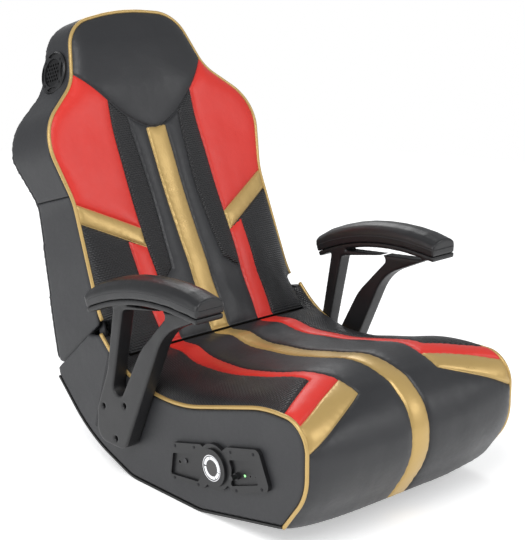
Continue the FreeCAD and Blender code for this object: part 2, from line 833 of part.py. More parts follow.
def make_back_cushion():
    cushion = back_cushion_loft().common(front_slab(size("cover_thickness") + size("soft_gap")))
    beyond = below_hinge().cut(hinge_round(size("hinge_reach")))
    cushion = cushion.cut(beyond)
    reach = WORLD_SIZE
    knuckle = size("knuckle_half_width")
    low = (CREASE.z - 200, CREASE.z + 150)
    for sign in (-1, 1):
        cheek = world_box(sorted((sign * knuckle, sign * reach)), (-reach, reach), low)
        cushion = cushion.cut(cheek)
        pocket = rod(Vector(sign * (knuckle - 8), PIVOT_PLACE.y, PIVOT_PLACE.z), ACROSS * sign,
                     size("pin_head_radius") + 1, 20)
        cushion = cushion.cut(pocket)
    add("back_cushion", cushion)


def up_the_back(low, high):
    """The part of space between two heights up the slanted plane."""
    reach = WORLD_SIZE / 2
    outline = trace([(-reach, low, 0), (reach, low, 0), (reach, high, 0), (-reach, high, 0)], 0, closed=True)
    return slab(outline, FRONT_VIEW, -reach, reach)


def rear_layer(outer, inner):
    """Strip along the rear of the back, from its tail to its top."""
    corners = back_corners()[3:]
    tail, bump, top = corners[0], corners[-2], corners[-1]
    beyond = (2 * top[0] - bump[0], 2 * top[1] - bump[1], 0)
    reach = WORLD_SIZE / 2
    return side_slab(band([tail[:2] + (0,)] + corners[1:-1] + [beyond], outer, inner), -reach, reach)


def make_back_covers():
    block = back_block(pipe_inset(), 0)
    inside = front_slab(size("cover_thickness"))
    rear = rear_layer(-60, pipe_inset() + size("rear_cover_thickness"))
    shell = block.cut(inside).cut(rear)
    seam = size("side_seam_up")
    top = WORLD_SIZE / 2
    reach = WORLD_SIZE
    leaf_room = size("base_half_width") - size("cover_thickness") - size("board_thickness")
    for side, sign in (("right", -1), ("left", 1)):
        half = world_box(sorted((0, sign * reach)), (-reach, reach), (-reach, reach))
        lower = shell.common(up_the_back(-top, seam)).common(half)
        eye = rod(Vector(sign * (leaf_room - 12), PIVOT_PLACE.y, PIVOT_PLACE.z), ACROSS * sign,
                  size("eye_radius") + 6, 14.6)
        add("back_side_cover_" + side, lower.cut(eye))
        add("head_side_cover_" + side, shell.common(up_the_back(seam, top)).common(half))
    rear_skin = back_block(pipe_inset(), 0.0).common(rear)
    add("back_rear_cover", rear_skin)


def make_back_boards():
    inner = size("back_board_inner")
    outer = inner + size("board_thickness")
    reach = WORLD_SIZE / 2
    depth = size("back_cushion_depth") + size("cushion_seat_gap")
    line = [corner for corner in reversed(back_line())]
    in_front = side_slab(band(line, -reach / 4, depth), -reach, reach)
    panel_front = side_slab(band(line, -reach / 4, depth + size("back_panel_thickness")), -reach, reach)
    block = back_block(pipe_inset() + size("rear_cover_thickness"), size("cover_thickness"))
    behind = block.cut(in_front).cut(hinge_round(size("eye_radius") + 8))
    low, high = size("shoulder_rail_up"), size("shoulder_rail_up") + size("shoulder_rail_height")
    for side, sign in (("right", -1), ("left", 1)):
        place = world_box(sorted((sign * inner, sign * outer)), (-reach, reach), (-reach, reach))
        add("back_side_board_" + side, behind.common(place).common(up_the_back(-reach, low)))
    between = world_box((-inner, inner), (-reach, reach), (-reach, reach))
    panel = behind.common(panel_front).common(between).common(up_the_back(60, low))
    add("back_panel", panel)
    add("shoulder_rail", behind.common(up_the_back(low, high)))
    tail = CREASE + Vector(0, size("tail_behind") - 30, -size("tail_drop") + 34)
    rail = world_box((-inner, inner), (tail.y, tail.y + 22), (tail.z, tail.z + 50))
    add("back_bottom_rail", rail)
    start, way = split_line(-size("closing_board_lift"))
    ends = [start + way * 40, start + way * 172]
    lid = side_slab(band([(p.x, p.y, 0) for p in ends], 0, size("closing_board_thickness")), -inner, inner)
    add("back_closing_board", lid.cut(in_front).cut(hinge_round(size("eye_radius") + 8)).cut(rail))
    straight = [(across, up, 0) for across, up, radius in front_corners()]
    hollow = trace(straight, size("cover_thickness") + size("head_frame_thickness"), closed=True)
    ring = behind.cut(slab(hollow, FRONT_VIEW, -WORLD_SIZE / 2, WORLD_SIZE / 2))
    ring = ring.common(up_the_back(high, reach))
    for sign in (-1, 1):
        centre, outward, across, up = speaker_frame(sign)
        half = size("driver_radius") + 1
        turns = ((-1, -1), (1, -1), (1, 1), (-1, 1), (-1, -1))
        corners = [centre + across * a * half + up * b * half - outward * 60 for a, b in turns]
        notch = Part.Face(Part.makePolygon(corners)).extrude(outward * 120)
        ring = ring.cut(notch)
    add("headrest_frame", ring)


def piping_route():
    """Points of the piping round the back, up one side, over the top and down the other."""
    inset = size("piping_radius") + 0.1
    line = walk(trace(back_line()))
    corners = front_corners()
    start = hinge_start()
    foot_up = start.x * math.sin(SLANT) + start.y * math.cos(SLANT)
    corners = [(corners[0][0], foot_up, 0)] + [c for c in corners[1:-1]] + [(corners[-1][0], foot_up, 0)]
    corners = [c for i, c in enumerate(corners) if i in (0, len(corners) - 1) or c[1] > foot_up + 20]
    outline = Part.Wire([piece.toShape() for piece in trace(corners, inset)])
    flat = outline.discretize(Deflection=PIPING_DEVIATION)
    shares = [i / 400 for i in range(401)]
    ladder = [line(share)[0] for share in shares]
    heights = [p.x * math.sin(SLANT) + p.y * math.cos(SLANT) for p in ladder]
    route = []
    for point in flat:
        i = max(1, min(range(1, 401), key=lambda k: abs(heights[k] - point.y)))
        spread = heights[i] - heights[i - 1]
        blend = (point.y - heights[i - 1]) / spread
        place = ladder[i - 1] + (ladder[i] - ladder[i - 1]) * blend
        route.append(SIDE_VIEW.multVec(Vector(place.x, place.y, point.x)))
    return route


def make_back_piping():
    add("back_piping", piping(piping_route(), Vector(0, 1, 0)))


# Speaker pods

def speaker_frame(sign):
    """Centre on the cover and the three directions of a pod: outward, rearward and up its face."""
    neck = Vector(size("neck_half_width"), size("neck_up"), 0)
    head = Vector(size("head_half_width"), size("head_up"), 0)
    rise = unit(head - neck)
    share = (size("speaker_up") - neck.y) / (head.y - neck.y)
    flat = neck + (head - neck) * share
    up_plane = Vector(0, math.sin(SLANT), math.cos(SLANT))
    rearward = Vector(0, math.cos(SLANT), -math.sin(SLANT))
    up = Vector(sign * rise.x, 0, 0) + up_plane * rise.y
    outward = Vector(sign * rise.y, 0, 0) - up_plane * rise.x
    centre = CREASE + Vector(sign * flat.x, 0, 0) + up_plane * flat.y + rearward * size("speaker_across")
    return centre, outward, rearward, up


def lens(centre, outward, across, up, reach, half_length, depth):
    """A lens shaped recess between two screws of a pod, as a cutting solid."""
    tip_one = centre + up * reach - across * half_length
    tip_two = centre + up * reach + across * half_length
    outer = centre + up * (reach + half_length * 0.34)
    inner = centre + up * (reach - half_length * 0.22)
    sides = [Part.Arc(tip_one, outer, tip_two), Part.Arc(tip_two, inner, tip_one)]
    wire = Part.Wire([side.toShape() for side in sides])
    face = Part.Face(wire)
    face.translate(outward * (size("speaker_proud") - depth))
    return face.extrude(outward * (depth + 5))


def six_sided_bar(base, way, side, radius, length):
    """A hexagonal bar from its base along its way."""
    over = unit(way.cross(side))
    ring = []
    for turn in range(6):
        angle = math.pi * turn / 3
        ring.append(base + side * (radius * math.cos(angle)) + over * (radius * math.sin(angle)))
    return Part.Face(Part.makePolygon(ring + ring[:1])).extrude(way * length)


def make_speakers():
    for side, sign in (("right", -1), ("left", 1)):
        centre, outward, across, up = speaker_frame(sign)
        proud = size("speaker_proud")
        housing = rod(centre, outward, size("speaker_radius"), proud - size("speaker_chamfer"))
        slope = Part.makeCone(size("speaker_radius"), size("speaker_radius") - size("speaker_chamfer"),
                              size("speaker_chamfer"), centre + outward * (proud - size("speaker_chamfer")), outward)
        housing = housing.fuse(slope).removeSplitter()
        bowl = rod(centre + outward * (proud - size("speaker_recess")), outward, size("grille_radius"), 20)
        housing = housing.cut(bowl)
        housing = housing.cut(rod(centre - outward, outward, size("driver_radius") - 2, 20))
        radius = size("grille_radius") + 5.0
        for turn in range(4):
            long_way = across if turn % 2 == 0 else up
            out_way = (up, across)[turn % 2] * (1 if turn < 2 else -1)
            housing = housing.cut(lens(centre, outward, long_way, out_way, radius, 16, 2.5))
        screws = []
        for a in (-1, 1):
            for b in (-1, 1):
                spot = centre + across * a * size("speaker_screw_across") + up * b * size("speaker_screw_up")
                screws.append(six_sided_bar(spot + outward * proud, outward, across,
                                            size("small_screw_radius"), 1.4))
        add("speaker_housing_" + side, housing)
        add("speaker_screws_" + side, Part.makeCompound(screws))
        seat = centre + outward * (proud - size("speaker_recess"))
        grille = rod(seat, outward, size("grille_radius") - 0.2, size("grille_thickness"))
        pitch = size("grille_pitch")
        holes = []
        ring = int((size("grille_radius") - 3) / pitch)
        for i in range(-ring, ring + 1):
            for j in range(-ring, ring + 1):
                spot = across * (i + (j % 2) * 0.5) * pitch + up * j * pitch * 0.87
                if spot.Length < size("grille_radius") - 4:
                    holes.append(six_sided_bar(seat + spot - outward, outward, across,
                                               size("grille_hole_radius"), 10))
        add("speaker_grille_" + side, grille.cut(holes))
        driver = rod(centre, outward * -1, size("driver_radius") - 2.5, size("driver_depth"))
        room = rod(centre - outward * (size("driver_depth") + 3), outward, size("driver_radius") - 2, 40)
        add("speaker_driver_" + side, driver)
        for name in ("head_side_cover_" + side, "headrest_frame", "back_cushion", "back_rear_cover"):
            piece = document.getObject(name)
            piece.Shape = piece.Shape.cut([room, rod(centre, outward, size("speaker_radius"), 30)])


# Arms

def pad_line():
    """Underside of the arm pad, from its rear end to its front."""
    return [(-5, 109, 0), (-143, 172, 510), (-311, 160, 0)]


def arm_outline():
    """Moulded arm seen from the side: plate, rear column and front arch, up into the tray."""
    outer = [
        (-292, 150, 0), (-184, 99, 110), (-68, -151, 28), (14, -151, 24), (14, -92, 10), (-20, -10, 60),
        (-44, 122, 0),
    ]
    window = [(-33, -52, 14), (-70, 114, 12), (-205, 142, 8), (-118, 52, 150), (-62, -49, 12)]
    return outer, window


def make_arms():
    inner = size("base_half_width") + size("arm_gap")
    outer = inner + size("arm_plate_thickness")
    outline, window = arm_outline()
    tray = band(pad_line(), size("pad_seat_gap"), size("tray_thickness"))
    for side, sign in (("right", -1), ("left", 1)):
        plate = side_slab(trace(outline, 0, closed=True), sign * inner, sign * outer)
        above = side_slab(band(pad_line(), -80, size("tray_thickness") / 2), -WORLD_SIZE, WORLD_SIZE)
        shelf = side_slab(tray, sign * inner, sign * size("arm_outer"))
        frame = plate.cut(above).fuse(shelf)
        frame = frame.cut(side_slab(trace(window, 0, closed=True), sign * (inner - 1), sign * (outer + 1)))
        bores = arm_screw_holes(sign * inner, sign * outer, size("arm_screw_radius") + 0.1)
        sinks = arm_screw_holes(sign * (outer - size("counterbore_depth")), sign * (outer + 1),
                                size("counterbore_radius"))
        frame = frame.cut(bores + sinks).removeSplitter()
        add("arm_frame_" + side, frame)
        add("arm_pad_" + side, arm_pad(sign, inner))
        board_inner = size("base_half_width") - size("cover_thickness") - size("board_thickness")
        seat = outer - size("counterbore_depth")
        screws = []
        for y, z in ARM_SCREWS:
            shaft = side_slab(circle(y, z, size("arm_screw_radius")),
                              sign * (board_inner + 1), sign * (seat + 1))
            spot = SIDE_VIEW.multVec(Vector(y, z, sign * seat))
            head = six_sided_bar(spot, ACROSS * sign, Vector(0, 1, 0), size("arm_screw_head_radius"), 4)
            screws.append(shaft.fuse(head).removeSplitter())
        add("arm_screws_" + side, Part.makeCompound(screws))


def arm_pad(sign, inner):
    """Padded top of an arm: straight sides, then a domed top, tapered to the rear."""
    at = walk(trace(pad_line()))
    middle = (inner + size("arm_outer")) / 2
    half = (size("arm_outer") - inner) / 2
    sections = []
    for i in range(PAD_SECTIONS + 1):
        place, way = at(i / PAD_SECTIONS)
        fullness = swell(i / PAD_SECTIONS, PAD_FULLNESS)
        out = left_of(way) * -1
        side_up = size("pad_side_height") * (0.9 + 0.1 * fullness)
        top_up = side_up + (size("pad_crown_height") - size("pad_side_height")) * fullness
        wide = half * (0.97 + 0.03 * fullness)

        def corner(across, up):
            flat = place + out * up
            return SIDE_VIEW.multVec(Vector(flat.x, flat.y, sign * (middle + across)))
        crown = top_up - side_up
        half_ring = [(wide, 0), (wide, side_up), (wide * 0.9, side_up + crown * 0.42), (wide * 0.64, side_up + crown * 0.8),
                     (wide * 0.25, top_up)]
        ring = [corner(across, up) for across, up in half_ring]
        ring += [corner(-across, up) for across, up in reversed(half_ring)]
        sections.append(Part.Wire(Part.makePolygon(ring + ring[:1])))
    return Part.makeLoft(sections, True, True)


# Share of the way along an arm pad, and how full its top is there


# Control panel on the right side of the base


def panel_slab(outline, low, high):
    """A prism on the right side, from low to high above the cover."""
    face = size("base_half_width")
    return side_slab(outline, -(face + low), -(face + high))


def make_control_panel():
    proud = size("panel_proud")
    floor = size("panel_floor")
    disc = (-size("disc_ahead"), -size("disc_drop"))
    panel = panel_slab(trace(REAR_WING, 0, closed=True), 0, proud)
    panel = panel.fuse([panel_slab(trace(FRONT_WING, 0, closed=True), 0, proud),
                        panel_slab(circle(*disc, size("disc_radius")), 0, proud)]).removeSplitter()
    recesses = [panel_slab(trace(outline, 0, closed=True), floor, proud + 1)
                for outline in (REAR_RECESS, FRONT_RECESS)]
    panel = panel.cut(recesses)
    panel = panel.cut(panel_slab(circle(*disc, size("ring_radius") + 10), floor + 2, proud + 1))
    sockets = [INLET_PLACE] + AUDIO_PLACES
    radii = [size("power_inlet_radius")] + [size("audio_inlet_radius")] * 2
    holes = [panel_slab(circle(*place, radius + size("socket_wall")), -1, floor + 1)
             for place, radius in zip(sockets, radii)]
    button_hole = size("button_radius") + size("button_clearance")
    holes.append(panel_slab(circle(*BUTTON_PLACE, button_hole), -1, floor + 1))
    knob_hole = size("knob_shaft_radius") + size("knob_clearance")
    holes.append(panel_slab(circle(*KNOB_PLACE, knob_hole), -1, floor + 1))
    holes.append(panel_slab(circle(*LENS_PLACE, size("lens_radius")), -1, floor + 1))
    add("control_panel", panel.cut(holes))
    outward = ACROSS * -1
    screws = [six_sided_bar(SIDE_VIEW.multVec(Vector(y, z, -size("base_half_width") - proud)), outward, Vector(0, 1, 0),
                            size("small_screw_radius"), 1.4) for y, z in PANEL_SCREWS]
    add("panel_screws", Part.makeCompound(screws))
    cap = panel_slab(circle(*disc, size("ring_radius") + 9.8), floor + 2, proud + size("disc_rise"))
    step = panel_slab(circle(*disc, size("ring_radius") + 0.2),
                      proud + size("disc_rise") - 2, proud + size("disc_rise") + 1)
    add("panel_disc", cap.cut(step))
    top = proud + size("disc_rise")
    hoop = panel_slab(circle(*disc, size("ring_radius")), top - 2, top + 0.6)
    hoop = hoop.cut(panel_slab(circle(*disc, size("ring_radius") - size("ring_thickness")), top - 3, top + 2))
    add("disc_ring", hoop)
    badge = add_body("disc_badge", circle(*disc, size("ring_radius") - size("ring_thickness") - 0.1),
                     "-sizes.base_half_width - sizes.panel_proud - sizes.disc_rise + 0.4", "1.6")
    bind_radius(badge, "sizes.ring_radius - sizes.ring_thickness - 0.1")
    amplifier = panel_slab(panel_window(0), -size("amplifier_depth"), -size("socket_depth"))
    add("amplifier_case", amplifier)
    inlet = socket(INLET_PLACE, size("power_inlet_radius"))
    add("power_inlet", inlet)
    sockets = [socket(place, size("audio_inlet_radius")) for place in AUDIO_PLACES]
    add("audio_sockets", Part.makeCompound(sockets))
    add("indicator_lens", panel_slab(circle(*LENS_PLACE, size("lens_radius") - 0.05), -3, floor + 0.8))


def socket(place, radius):
    """A round plug socket with its bore, seated in the panel and the amplifier."""
    wall = size("socket_wall") - 0.05
    body = panel_slab(circle(*place, radius + wall), -size("socket_depth"), size("panel_floor"))
    return body.cut(panel_slab(circle(*place, radius), -size("socket_depth") + 1.5, size("panel_floor") + 1))


def make_knob_and_button():
    floor = size("panel_floor")
    gap = 0.3
    base = panel_slab(circle(*KNOB_PLACE, size("knob_radius")), floor + gap, floor + gap + 6)
    stem = panel_slab(circle(*KNOB_PLACE, size("knob_tip_radius")),
                      floor + gap + 5, floor + size("knob_length"))
    shaft = panel_slab(circle(*KNOB_PLACE, size("knob_shaft_radius")), -7, floor + gap + 1)
    flutes = []
    for turn in range(KNOB_FLUTES):
        angle = 2 * math.pi * turn / KNOB_FLUTES
        way = Vector(math.cos(angle), math.sin(angle), 0)
        tip = Vector(KNOB_PLACE[0], KNOB_PLACE[1], 0) + way * (size("knob_tip_radius") + 0.2)
        corners = [tip - way * 0.7, tip + left_of(way) * 0.5, tip - left_of(way) * 0.5]
        outline = [Part.LineSegment(a, b) for a, b in zip(corners, corners[1:] + corners[:1])]
        flutes.append(panel_slab(outline, floor + gap + 6, floor + size("knob_length") + 1))
    add("volume_knob", base.fuse([stem, shaft]).removeSplitter().cut(flutes))
    button = add_body("power_button", circle(*BUTTON_PLACE, size("button_radius")),
                      "-sizes.base_half_width - sizes.panel_floor - 2",
                      "sizes.panel_floor + 1.8 + sizes.button_length - sizes.button_travel")
    bind_radius(button, "sizes.button_radius")


def add(name, shape):
    """One named piece of the chair."""
    piece = document.addObject("Part::Feature", name)
    piece.Label = name
    piece.Shape = shape
    made.append(name)
    return piece


make_base_sides()
make_seat_cushion()
make_base_boards()
make_edge_strips()
make_base_piping()
make_hinges()
make_back_cushion()
make_back_covers()
make_back_boards()
make_back_piping()
make_speakers()
make_arms()
make_control_panel()
make_knob_and_button()
document.recompute()

faults = []
for name in made:
    piece = document.getObject(name)
    if "Invalid" in piece.State or "Error" in piece.State:
        faults.append(name + " failed")
    elif piece.Shape.isNull() or not piece.Shape.isValid() or piece.Shape.Volume <= 0:
        faults.append(name + " has no sound shape")
if faults:
    raise RuntimeError("; ".join(faults))
for name in made:
    piece = document.getObject(name)
    piece.Shape.exportStep("parts/" + name + ".step")
    print(name, len(piece.Shape.Solids), round(piece.Shape.Volume / 1000), "cm3")
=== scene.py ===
"""Looks of the gaming rocker chair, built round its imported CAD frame."""
import json
import math

import bpy
import bmesh
import numpy as np
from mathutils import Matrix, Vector, geometry, noise


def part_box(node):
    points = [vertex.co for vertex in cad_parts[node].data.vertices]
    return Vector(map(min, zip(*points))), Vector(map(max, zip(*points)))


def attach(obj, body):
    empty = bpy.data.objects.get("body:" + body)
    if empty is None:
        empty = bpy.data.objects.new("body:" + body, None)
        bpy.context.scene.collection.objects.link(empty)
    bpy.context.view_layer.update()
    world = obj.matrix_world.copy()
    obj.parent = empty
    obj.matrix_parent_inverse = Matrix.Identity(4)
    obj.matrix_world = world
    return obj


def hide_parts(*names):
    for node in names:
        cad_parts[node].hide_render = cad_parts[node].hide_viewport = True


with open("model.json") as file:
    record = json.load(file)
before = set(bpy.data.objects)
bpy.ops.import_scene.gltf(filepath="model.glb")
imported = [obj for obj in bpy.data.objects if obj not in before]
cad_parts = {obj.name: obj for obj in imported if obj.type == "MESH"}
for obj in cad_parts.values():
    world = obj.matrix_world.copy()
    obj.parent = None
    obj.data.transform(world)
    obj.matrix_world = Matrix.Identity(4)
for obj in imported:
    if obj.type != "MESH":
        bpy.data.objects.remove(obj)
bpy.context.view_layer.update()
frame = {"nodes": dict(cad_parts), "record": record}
NODES = frame["nodes"]
MM = 0.001
SIDES = (("right", -1), ("left", 1))

# The crease between seat and back; side view points are (behind it, above it) in millimetres
CREASE_Y = 143.0
CREASE_Z = 217.0
SLANT = math.radians(17.5)
PIPE_RADIUS = 3.5
PIPE_INSET = 3.6
SEAT_HALF = 250.0 - PIPE_INSET


def crease_place(x, y, z):
    """A place given across, behind and above the crease, in metres in the frame."""
    return Vector((x, y + CREASE_Y, z + CREASE_Z)) * MM


# Camera: the photograph's view, fitted to matching points
def make_camera():
    data = bpy.data.cameras.new("photo_camera")
    data.sensor_width = 36.0
    data.lens = 1549.3 * 36.0 / 540.0
    data.clip_end = 50.0
    camera = bpy.data.objects.new("photo_camera", data)
    azimuth = math.radians(41.54)
    elevation = math.radians(16.12)
    look = Vector((math.sin(azimuth) * math.cos(elevation), math.cos(azimuth) * math.cos(elevation),
                   -math.sin(elevation)))
    camera.location = crease_place(-1799.2, -2153.4, 928.2)
    camera.rotation_mode = "QUATERNION"
    camera.rotation_quaternion = look.to_track_quat("-Z", "Y")
    bpy.context.scene.collection.objects.link(camera)
    bpy.context.scene.camera = camera


# Stage and light
def make_stage():
    scene = bpy.context.scene
    scene.view_settings.view_transform = "Standard"
    world = bpy.data.worlds.new("studio")
    scene.world = world
    world.use_nodes = True
    tree = world.node_tree
    tree.nodes.clear()
    out = tree.nodes.new("ShaderNodeOutputWorld")
    seen = tree.nodes.new("ShaderNodeBackground")
    lit = tree.nodes.new("ShaderNodeBackground")
    seen.inputs["Color"].default_value = (1, 1, 1, 1)
    seen.inputs["Strength"].default_value = 1.0
    lit.inputs["Color"].default_value = (0.96, 0.98, 1, 1)
    lit.inputs["Strength"].default_value = 0.42
    path = tree.nodes.new("ShaderNodeLightPath")
    mix = tree.nodes.new("ShaderNodeMixShader")
    tree.links.new(path.outputs["Is Camera Ray"], mix.inputs[0])
    tree.links.new(lit.outputs[0], mix.inputs[1])
    tree.links.new(seen.outputs[0], mix.inputs[2])
    tree.links.new(mix.outputs[0], out.inputs["Surface"])

    mesh = bpy.data.meshes.new("studio_floor")
    reach = 2.6
    rim = [(reach * math.cos(a), reach * math.sin(a) + 0.4, 0) for a in np.linspace(0, 2 * math.pi, 97)[:-1]]
    mesh.from_pydata(rim, [], [tuple(range(len(rim)))])
    floor = bpy.data.objects.new("studio_floor", mesh)
    floor.location.z = -0.0005
    scene.collection.objects.link(floor)
    paint = bpy.data.materials.new("studio_floor")
    paint.use_nodes = True
    tree = paint.node_tree
    shader = tree.nodes["Principled BSDF"]
    shader.inputs["Base Color"].default_value = (0.93, 0.93, 0.93, 1)
    shader.inputs["Roughness"].default_value = 0.9
    shader.inputs["Specular IOR Level"].default_value = 0.05
    shader.inputs["Emission Color"].default_value = (1, 1, 1, 1)
    shader.inputs["Emission Strength"].default_value = 0.42
    mesh.materials.append(paint)

    lamps = (
        ("key", (-1.9, -1.2, 2.9), (0.0, 0.05, 0.35), 1.9, 62.0),
        ("front", (1.6, -2.6, 1.7), (0.0, 0.0, 0.3), 1.6, 26.0),
        ("side", (-2.9, 0.9, 1.2), (0.0, 0.1, 0.3), 1.5, 22.0),
        ("back", (1.4, 2.6, 2.4), (0.0, 0.1, 0.4), 1.6, 30.0),
    )
    for name, place, target, wide, power in lamps:
        data = bpy.data.lights.new(name, "AREA")
        data.shape = "SQUARE"
        data.size = wide
        data.energy = power
        lamp = bpy.data.objects.new(name, data)
        lamp.location = place
        lamp.rotation_mode = "QUATERNION"
        lamp.rotation_quaternion = (Vector(target) - Vector(place)).to_track_quat("-Z", "Y")
        scene.collection.objects.link(lamp)


# Materials
def nodes_of(name):
    material = bpy.data.materials.new(name)
    material.use_nodes = True
    return material, material.node_tree, material.node_tree.nodes["Principled BSDF"]


def math_node(tree, operation, first, second=None):
    node = tree.nodes.new("ShaderNodeMath")
    node.operation = operation
    for slot, value in zip(node.inputs, (first, second)):
        if value is None:
            continue
        if isinstance(value, (int, float)):
            slot.default_value = value
        else:
            tree.links.new(value, slot)
    return node.outputs[0]


def noise_node(tree, where, scale, detail=2.0, rough=0.5):
    node = tree.nodes.new("ShaderNodeTexNoise")
    node.inputs["Scale"].default_value = scale
    node.inputs["Detail"].default_value = detail
    node.inputs["Roughness"].default_value = rough
    tree.links.new(where, node.inputs["Vector"])
    return node.outputs["Fac"]


def ramp(tree, fac, low, high):
    node = tree.nodes.new("ShaderNodeMapRange")
    node.inputs["From Min"].default_value = 0.3
    node.inputs["From Max"].default_value = 0.7
    node.inputs["To Min"].default_value = low
    node.inputs["To Max"].default_value = high
    tree.links.new(fac, node.inputs["Value"])
    return node.outputs["Result"]


def tinted(tree, colour, fac, spread):
    """The colour, a little lighter and darker over the surface."""
    node = tree.nodes.new("ShaderNodeMix")
    node.data_type = "RGBA"
    node.inputs[6].default_value = tuple(c * (1 - spread) for c in colour) + (1,)
    node.inputs[7].default_value = tuple(min(1, c * (1 + spread)) for c in colour) + (1,)
    tree.links.new(fac, node.inputs[0])
    return node.outputs[2]


def bump(tree, height, strength, distance, before=None):
    node = tree.nodes.new("ShaderNodeBump")
    node.inputs["Strength"].default_value = strength
    node.inputs["Distance"].default_value = distance
    tree.links.new(height, node.inputs["Height"])
    if before is not None:
        tree.links.new(before, node.inputs["Normal"])
    return node.outputs["Normal"]


def vinyl(name, colour, rough=0.46, grain=1.0, metallic=0.0, ribbed=False, spread=0.12, specular=0.5):
    """Grained vinyl, plain or embossed with fine ribs. The grain lies on the object's own coordinates."""
    material, tree, shader = nodes_of(name)
    place = tree.nodes.new("ShaderNodeTexCoord").outputs["Object"]
    cells = tree.nodes.new("ShaderNodeTexVoronoi")
    cells.inputs["Scale"].default_value = 900.0
    tree.links.new(place, cells.inputs["Vector"])
    cloud = noise_node(tree, place, 9.0, 3.0)
    scuff = noise_node(tree, place, 160.0, 4.0)
    tree.links.new(tinted(tree, colour, cloud, spread), shader.inputs["Base Color"])
    gloss = ramp(tree, cloud, rough - 0.05, rough + 0.05)
    wear = math_node(tree, "ADD", gloss, ramp(tree, scuff, -0.03, 0.03))
    tree.links.new(wear, shader.inputs["Roughness"])
    shader.inputs["Metallic"].default_value = metallic
    shader.inputs["Specular IOR Level"].default_value = specular
    normal = bump(tree, cells.outputs["Distance"], 0.22 * grain, 0.0005)
    normal = bump(tree, scuff, 0.10 * grain, 0.0008, normal)
    normal = bump(tree, noise_node(tree, place, 26.0, 2.0), 0.20, 0.004, normal)
    if ribbed:
        flat = tree.nodes.new("ShaderNodeUVMap")
        flat.uv_map = "flat"
        split = tree.nodes.new("ShaderNodeSeparateXYZ")
        tree.links.new(flat.outputs["UV"], split.inputs[0])
        along = math_node(tree, "MULTIPLY", split.outputs["Y"], 2 * math.pi / 0.0042)
        lines = math_node(tree, "SINE", along)
        across = math_node(tree, "MULTIPLY", split.outputs["X"], 2 * math.pi / 0.0060)
        shifted = math_node(tree, "ADD", across, math_node(tree, "MULTIPLY", along, 0.5))
        dots = math_node(tree, "MULTIPLY", math_node(tree, "SINE", shifted), 0.45)
        weave = math_node(tree, "ADD", lines, dots)
        normal = bump(tree, weave, 0.55, 0.0009, normal)
    tree.links.new(normal, shader.inputs["Normal"])
    return material


def plastic(name, colour, rough=0.45, grain=0.25, scale=1400.0, metallic=0.0, coat=0.0):
    """Moulded or painted surface with a fine texture and a little wear in its gloss."""
    material, tree, shader = nodes_of(name)
    place = tree.nodes.new("ShaderNodeTexCoord").outputs["Object"]
    cloud = noise_node(tree, place, 30.0, 3.0)
    tree.links.new(tinted(tree, colour, cloud, 0.08), shader.inputs["Base Color"])
    tree.links.new(ramp(tree, cloud, rough - 0.05, rough + 0.05), shader.inputs["Roughness"])
    shader.inputs["Metallic"].default_value = metallic
    shader.inputs["Coat Weight"].default_value = coat
    tree.links.new(bump(tree, noise_node(tree, place, scale, 2.0), grain, 0.0003), shader.inputs["Normal"])
    return material


def timber(name, colour):
    material, tree, shader = nodes_of(name)
    place = tree.nodes.new("ShaderNodeTexCoord").outputs["Object"]
    stretch = tree.nodes.new("ShaderNodeMapping")
    stretch.inputs["Scale"].default_value = (1.0, 9.0, 9.0)
    tree.links.new(place, stretch.inputs["Vector"])
    grain = noise_node(tree, stretch.outputs["Vector"], 14.0, 5.0, 0.6)
    tree.links.new(tinted(tree, colour, grain, 0.25), shader.inputs["Base Color"])
    shader.inputs["Roughness"].default_value = 0.7
    tree.links.new(bump(tree, grain, 0.2, 0.0006), shader.inputs["Normal"])
    return material


BLACK = (0.022, 0.0225, 0.025)
PAINT = {
    "black": vinyl("vinyl_black", BLACK, 0.44),
    "ribbed": vinyl("vinyl_ribbed", (0.014, 0.014, 0.0155), 0.38, ribbed=True),
    "red": vinyl("vinyl_red", (0.70, 0.030, 0.020), 0.42, 0.8, spread=0.06),
    "gold": vinyl("vinyl_gold", (0.54, 0.365, 0.13), 0.34, 0.8, metallic=0.35, spread=0.08),
    "cover": vinyl("vinyl_cover", (0.024, 0.0245, 0.027), 0.50, 0.9),
    "pad": vinyl("vinyl_pad", (0.014, 0.0142, 0.0155), 0.36, 0.8),
    "thread": plastic("thread_black", (0.03, 0.03, 0.032), 0.6),
    "arm_plastic": plastic("arm_plastic", (0.011, 0.011, 0.012), 0.42, 0.35),
    "panel_plastic": plastic("panel_plastic", (0.010, 0.010, 0.011), 0.40, 0.3),
    "screw_steel": plastic("screw_steel", (0.02, 0.02, 0.022), 0.35, 0.1, metallic=0.8),
    "ring_chrome": plastic("ring_chrome", (0.80, 0.80, 0.82), 0.12, 0.02, metallic=1.0),
    "badge_dark": plastic("badge_dark", (0.012, 0.010, 0.010), 0.18, 0.02, coat=0.5),
    "socket_plastic": plastic("socket_plastic", (0.015, 0.015, 0.015), 0.3),
    "grille_steel": plastic("grille_steel", (0.012, 0.012, 0.013), 0.4, 0.1, metallic=0.5),
    "driver_cone": plastic("driver_cone", (0.02, 0.02, 0.02), 0.8),
    "knob_plastic": plastic("knob_plastic", (0.012, 0.012, 0.013), 0.35),
    "button_plastic": plastic("button_plastic", (0.02, 0.02, 0.022), 0.35),
    "hinge_steel": plastic("hinge_steel", (0.03, 0.03, 0.033), 0.4, 0.1, metallic=0.6),
    "edge_rubber": plastic("edge_rubber", (0.010, 0.010, 0.010), 0.55, 0.4),
    "board_wood": timber("board_wood", (0.42, 0.27, 0.14)),
}


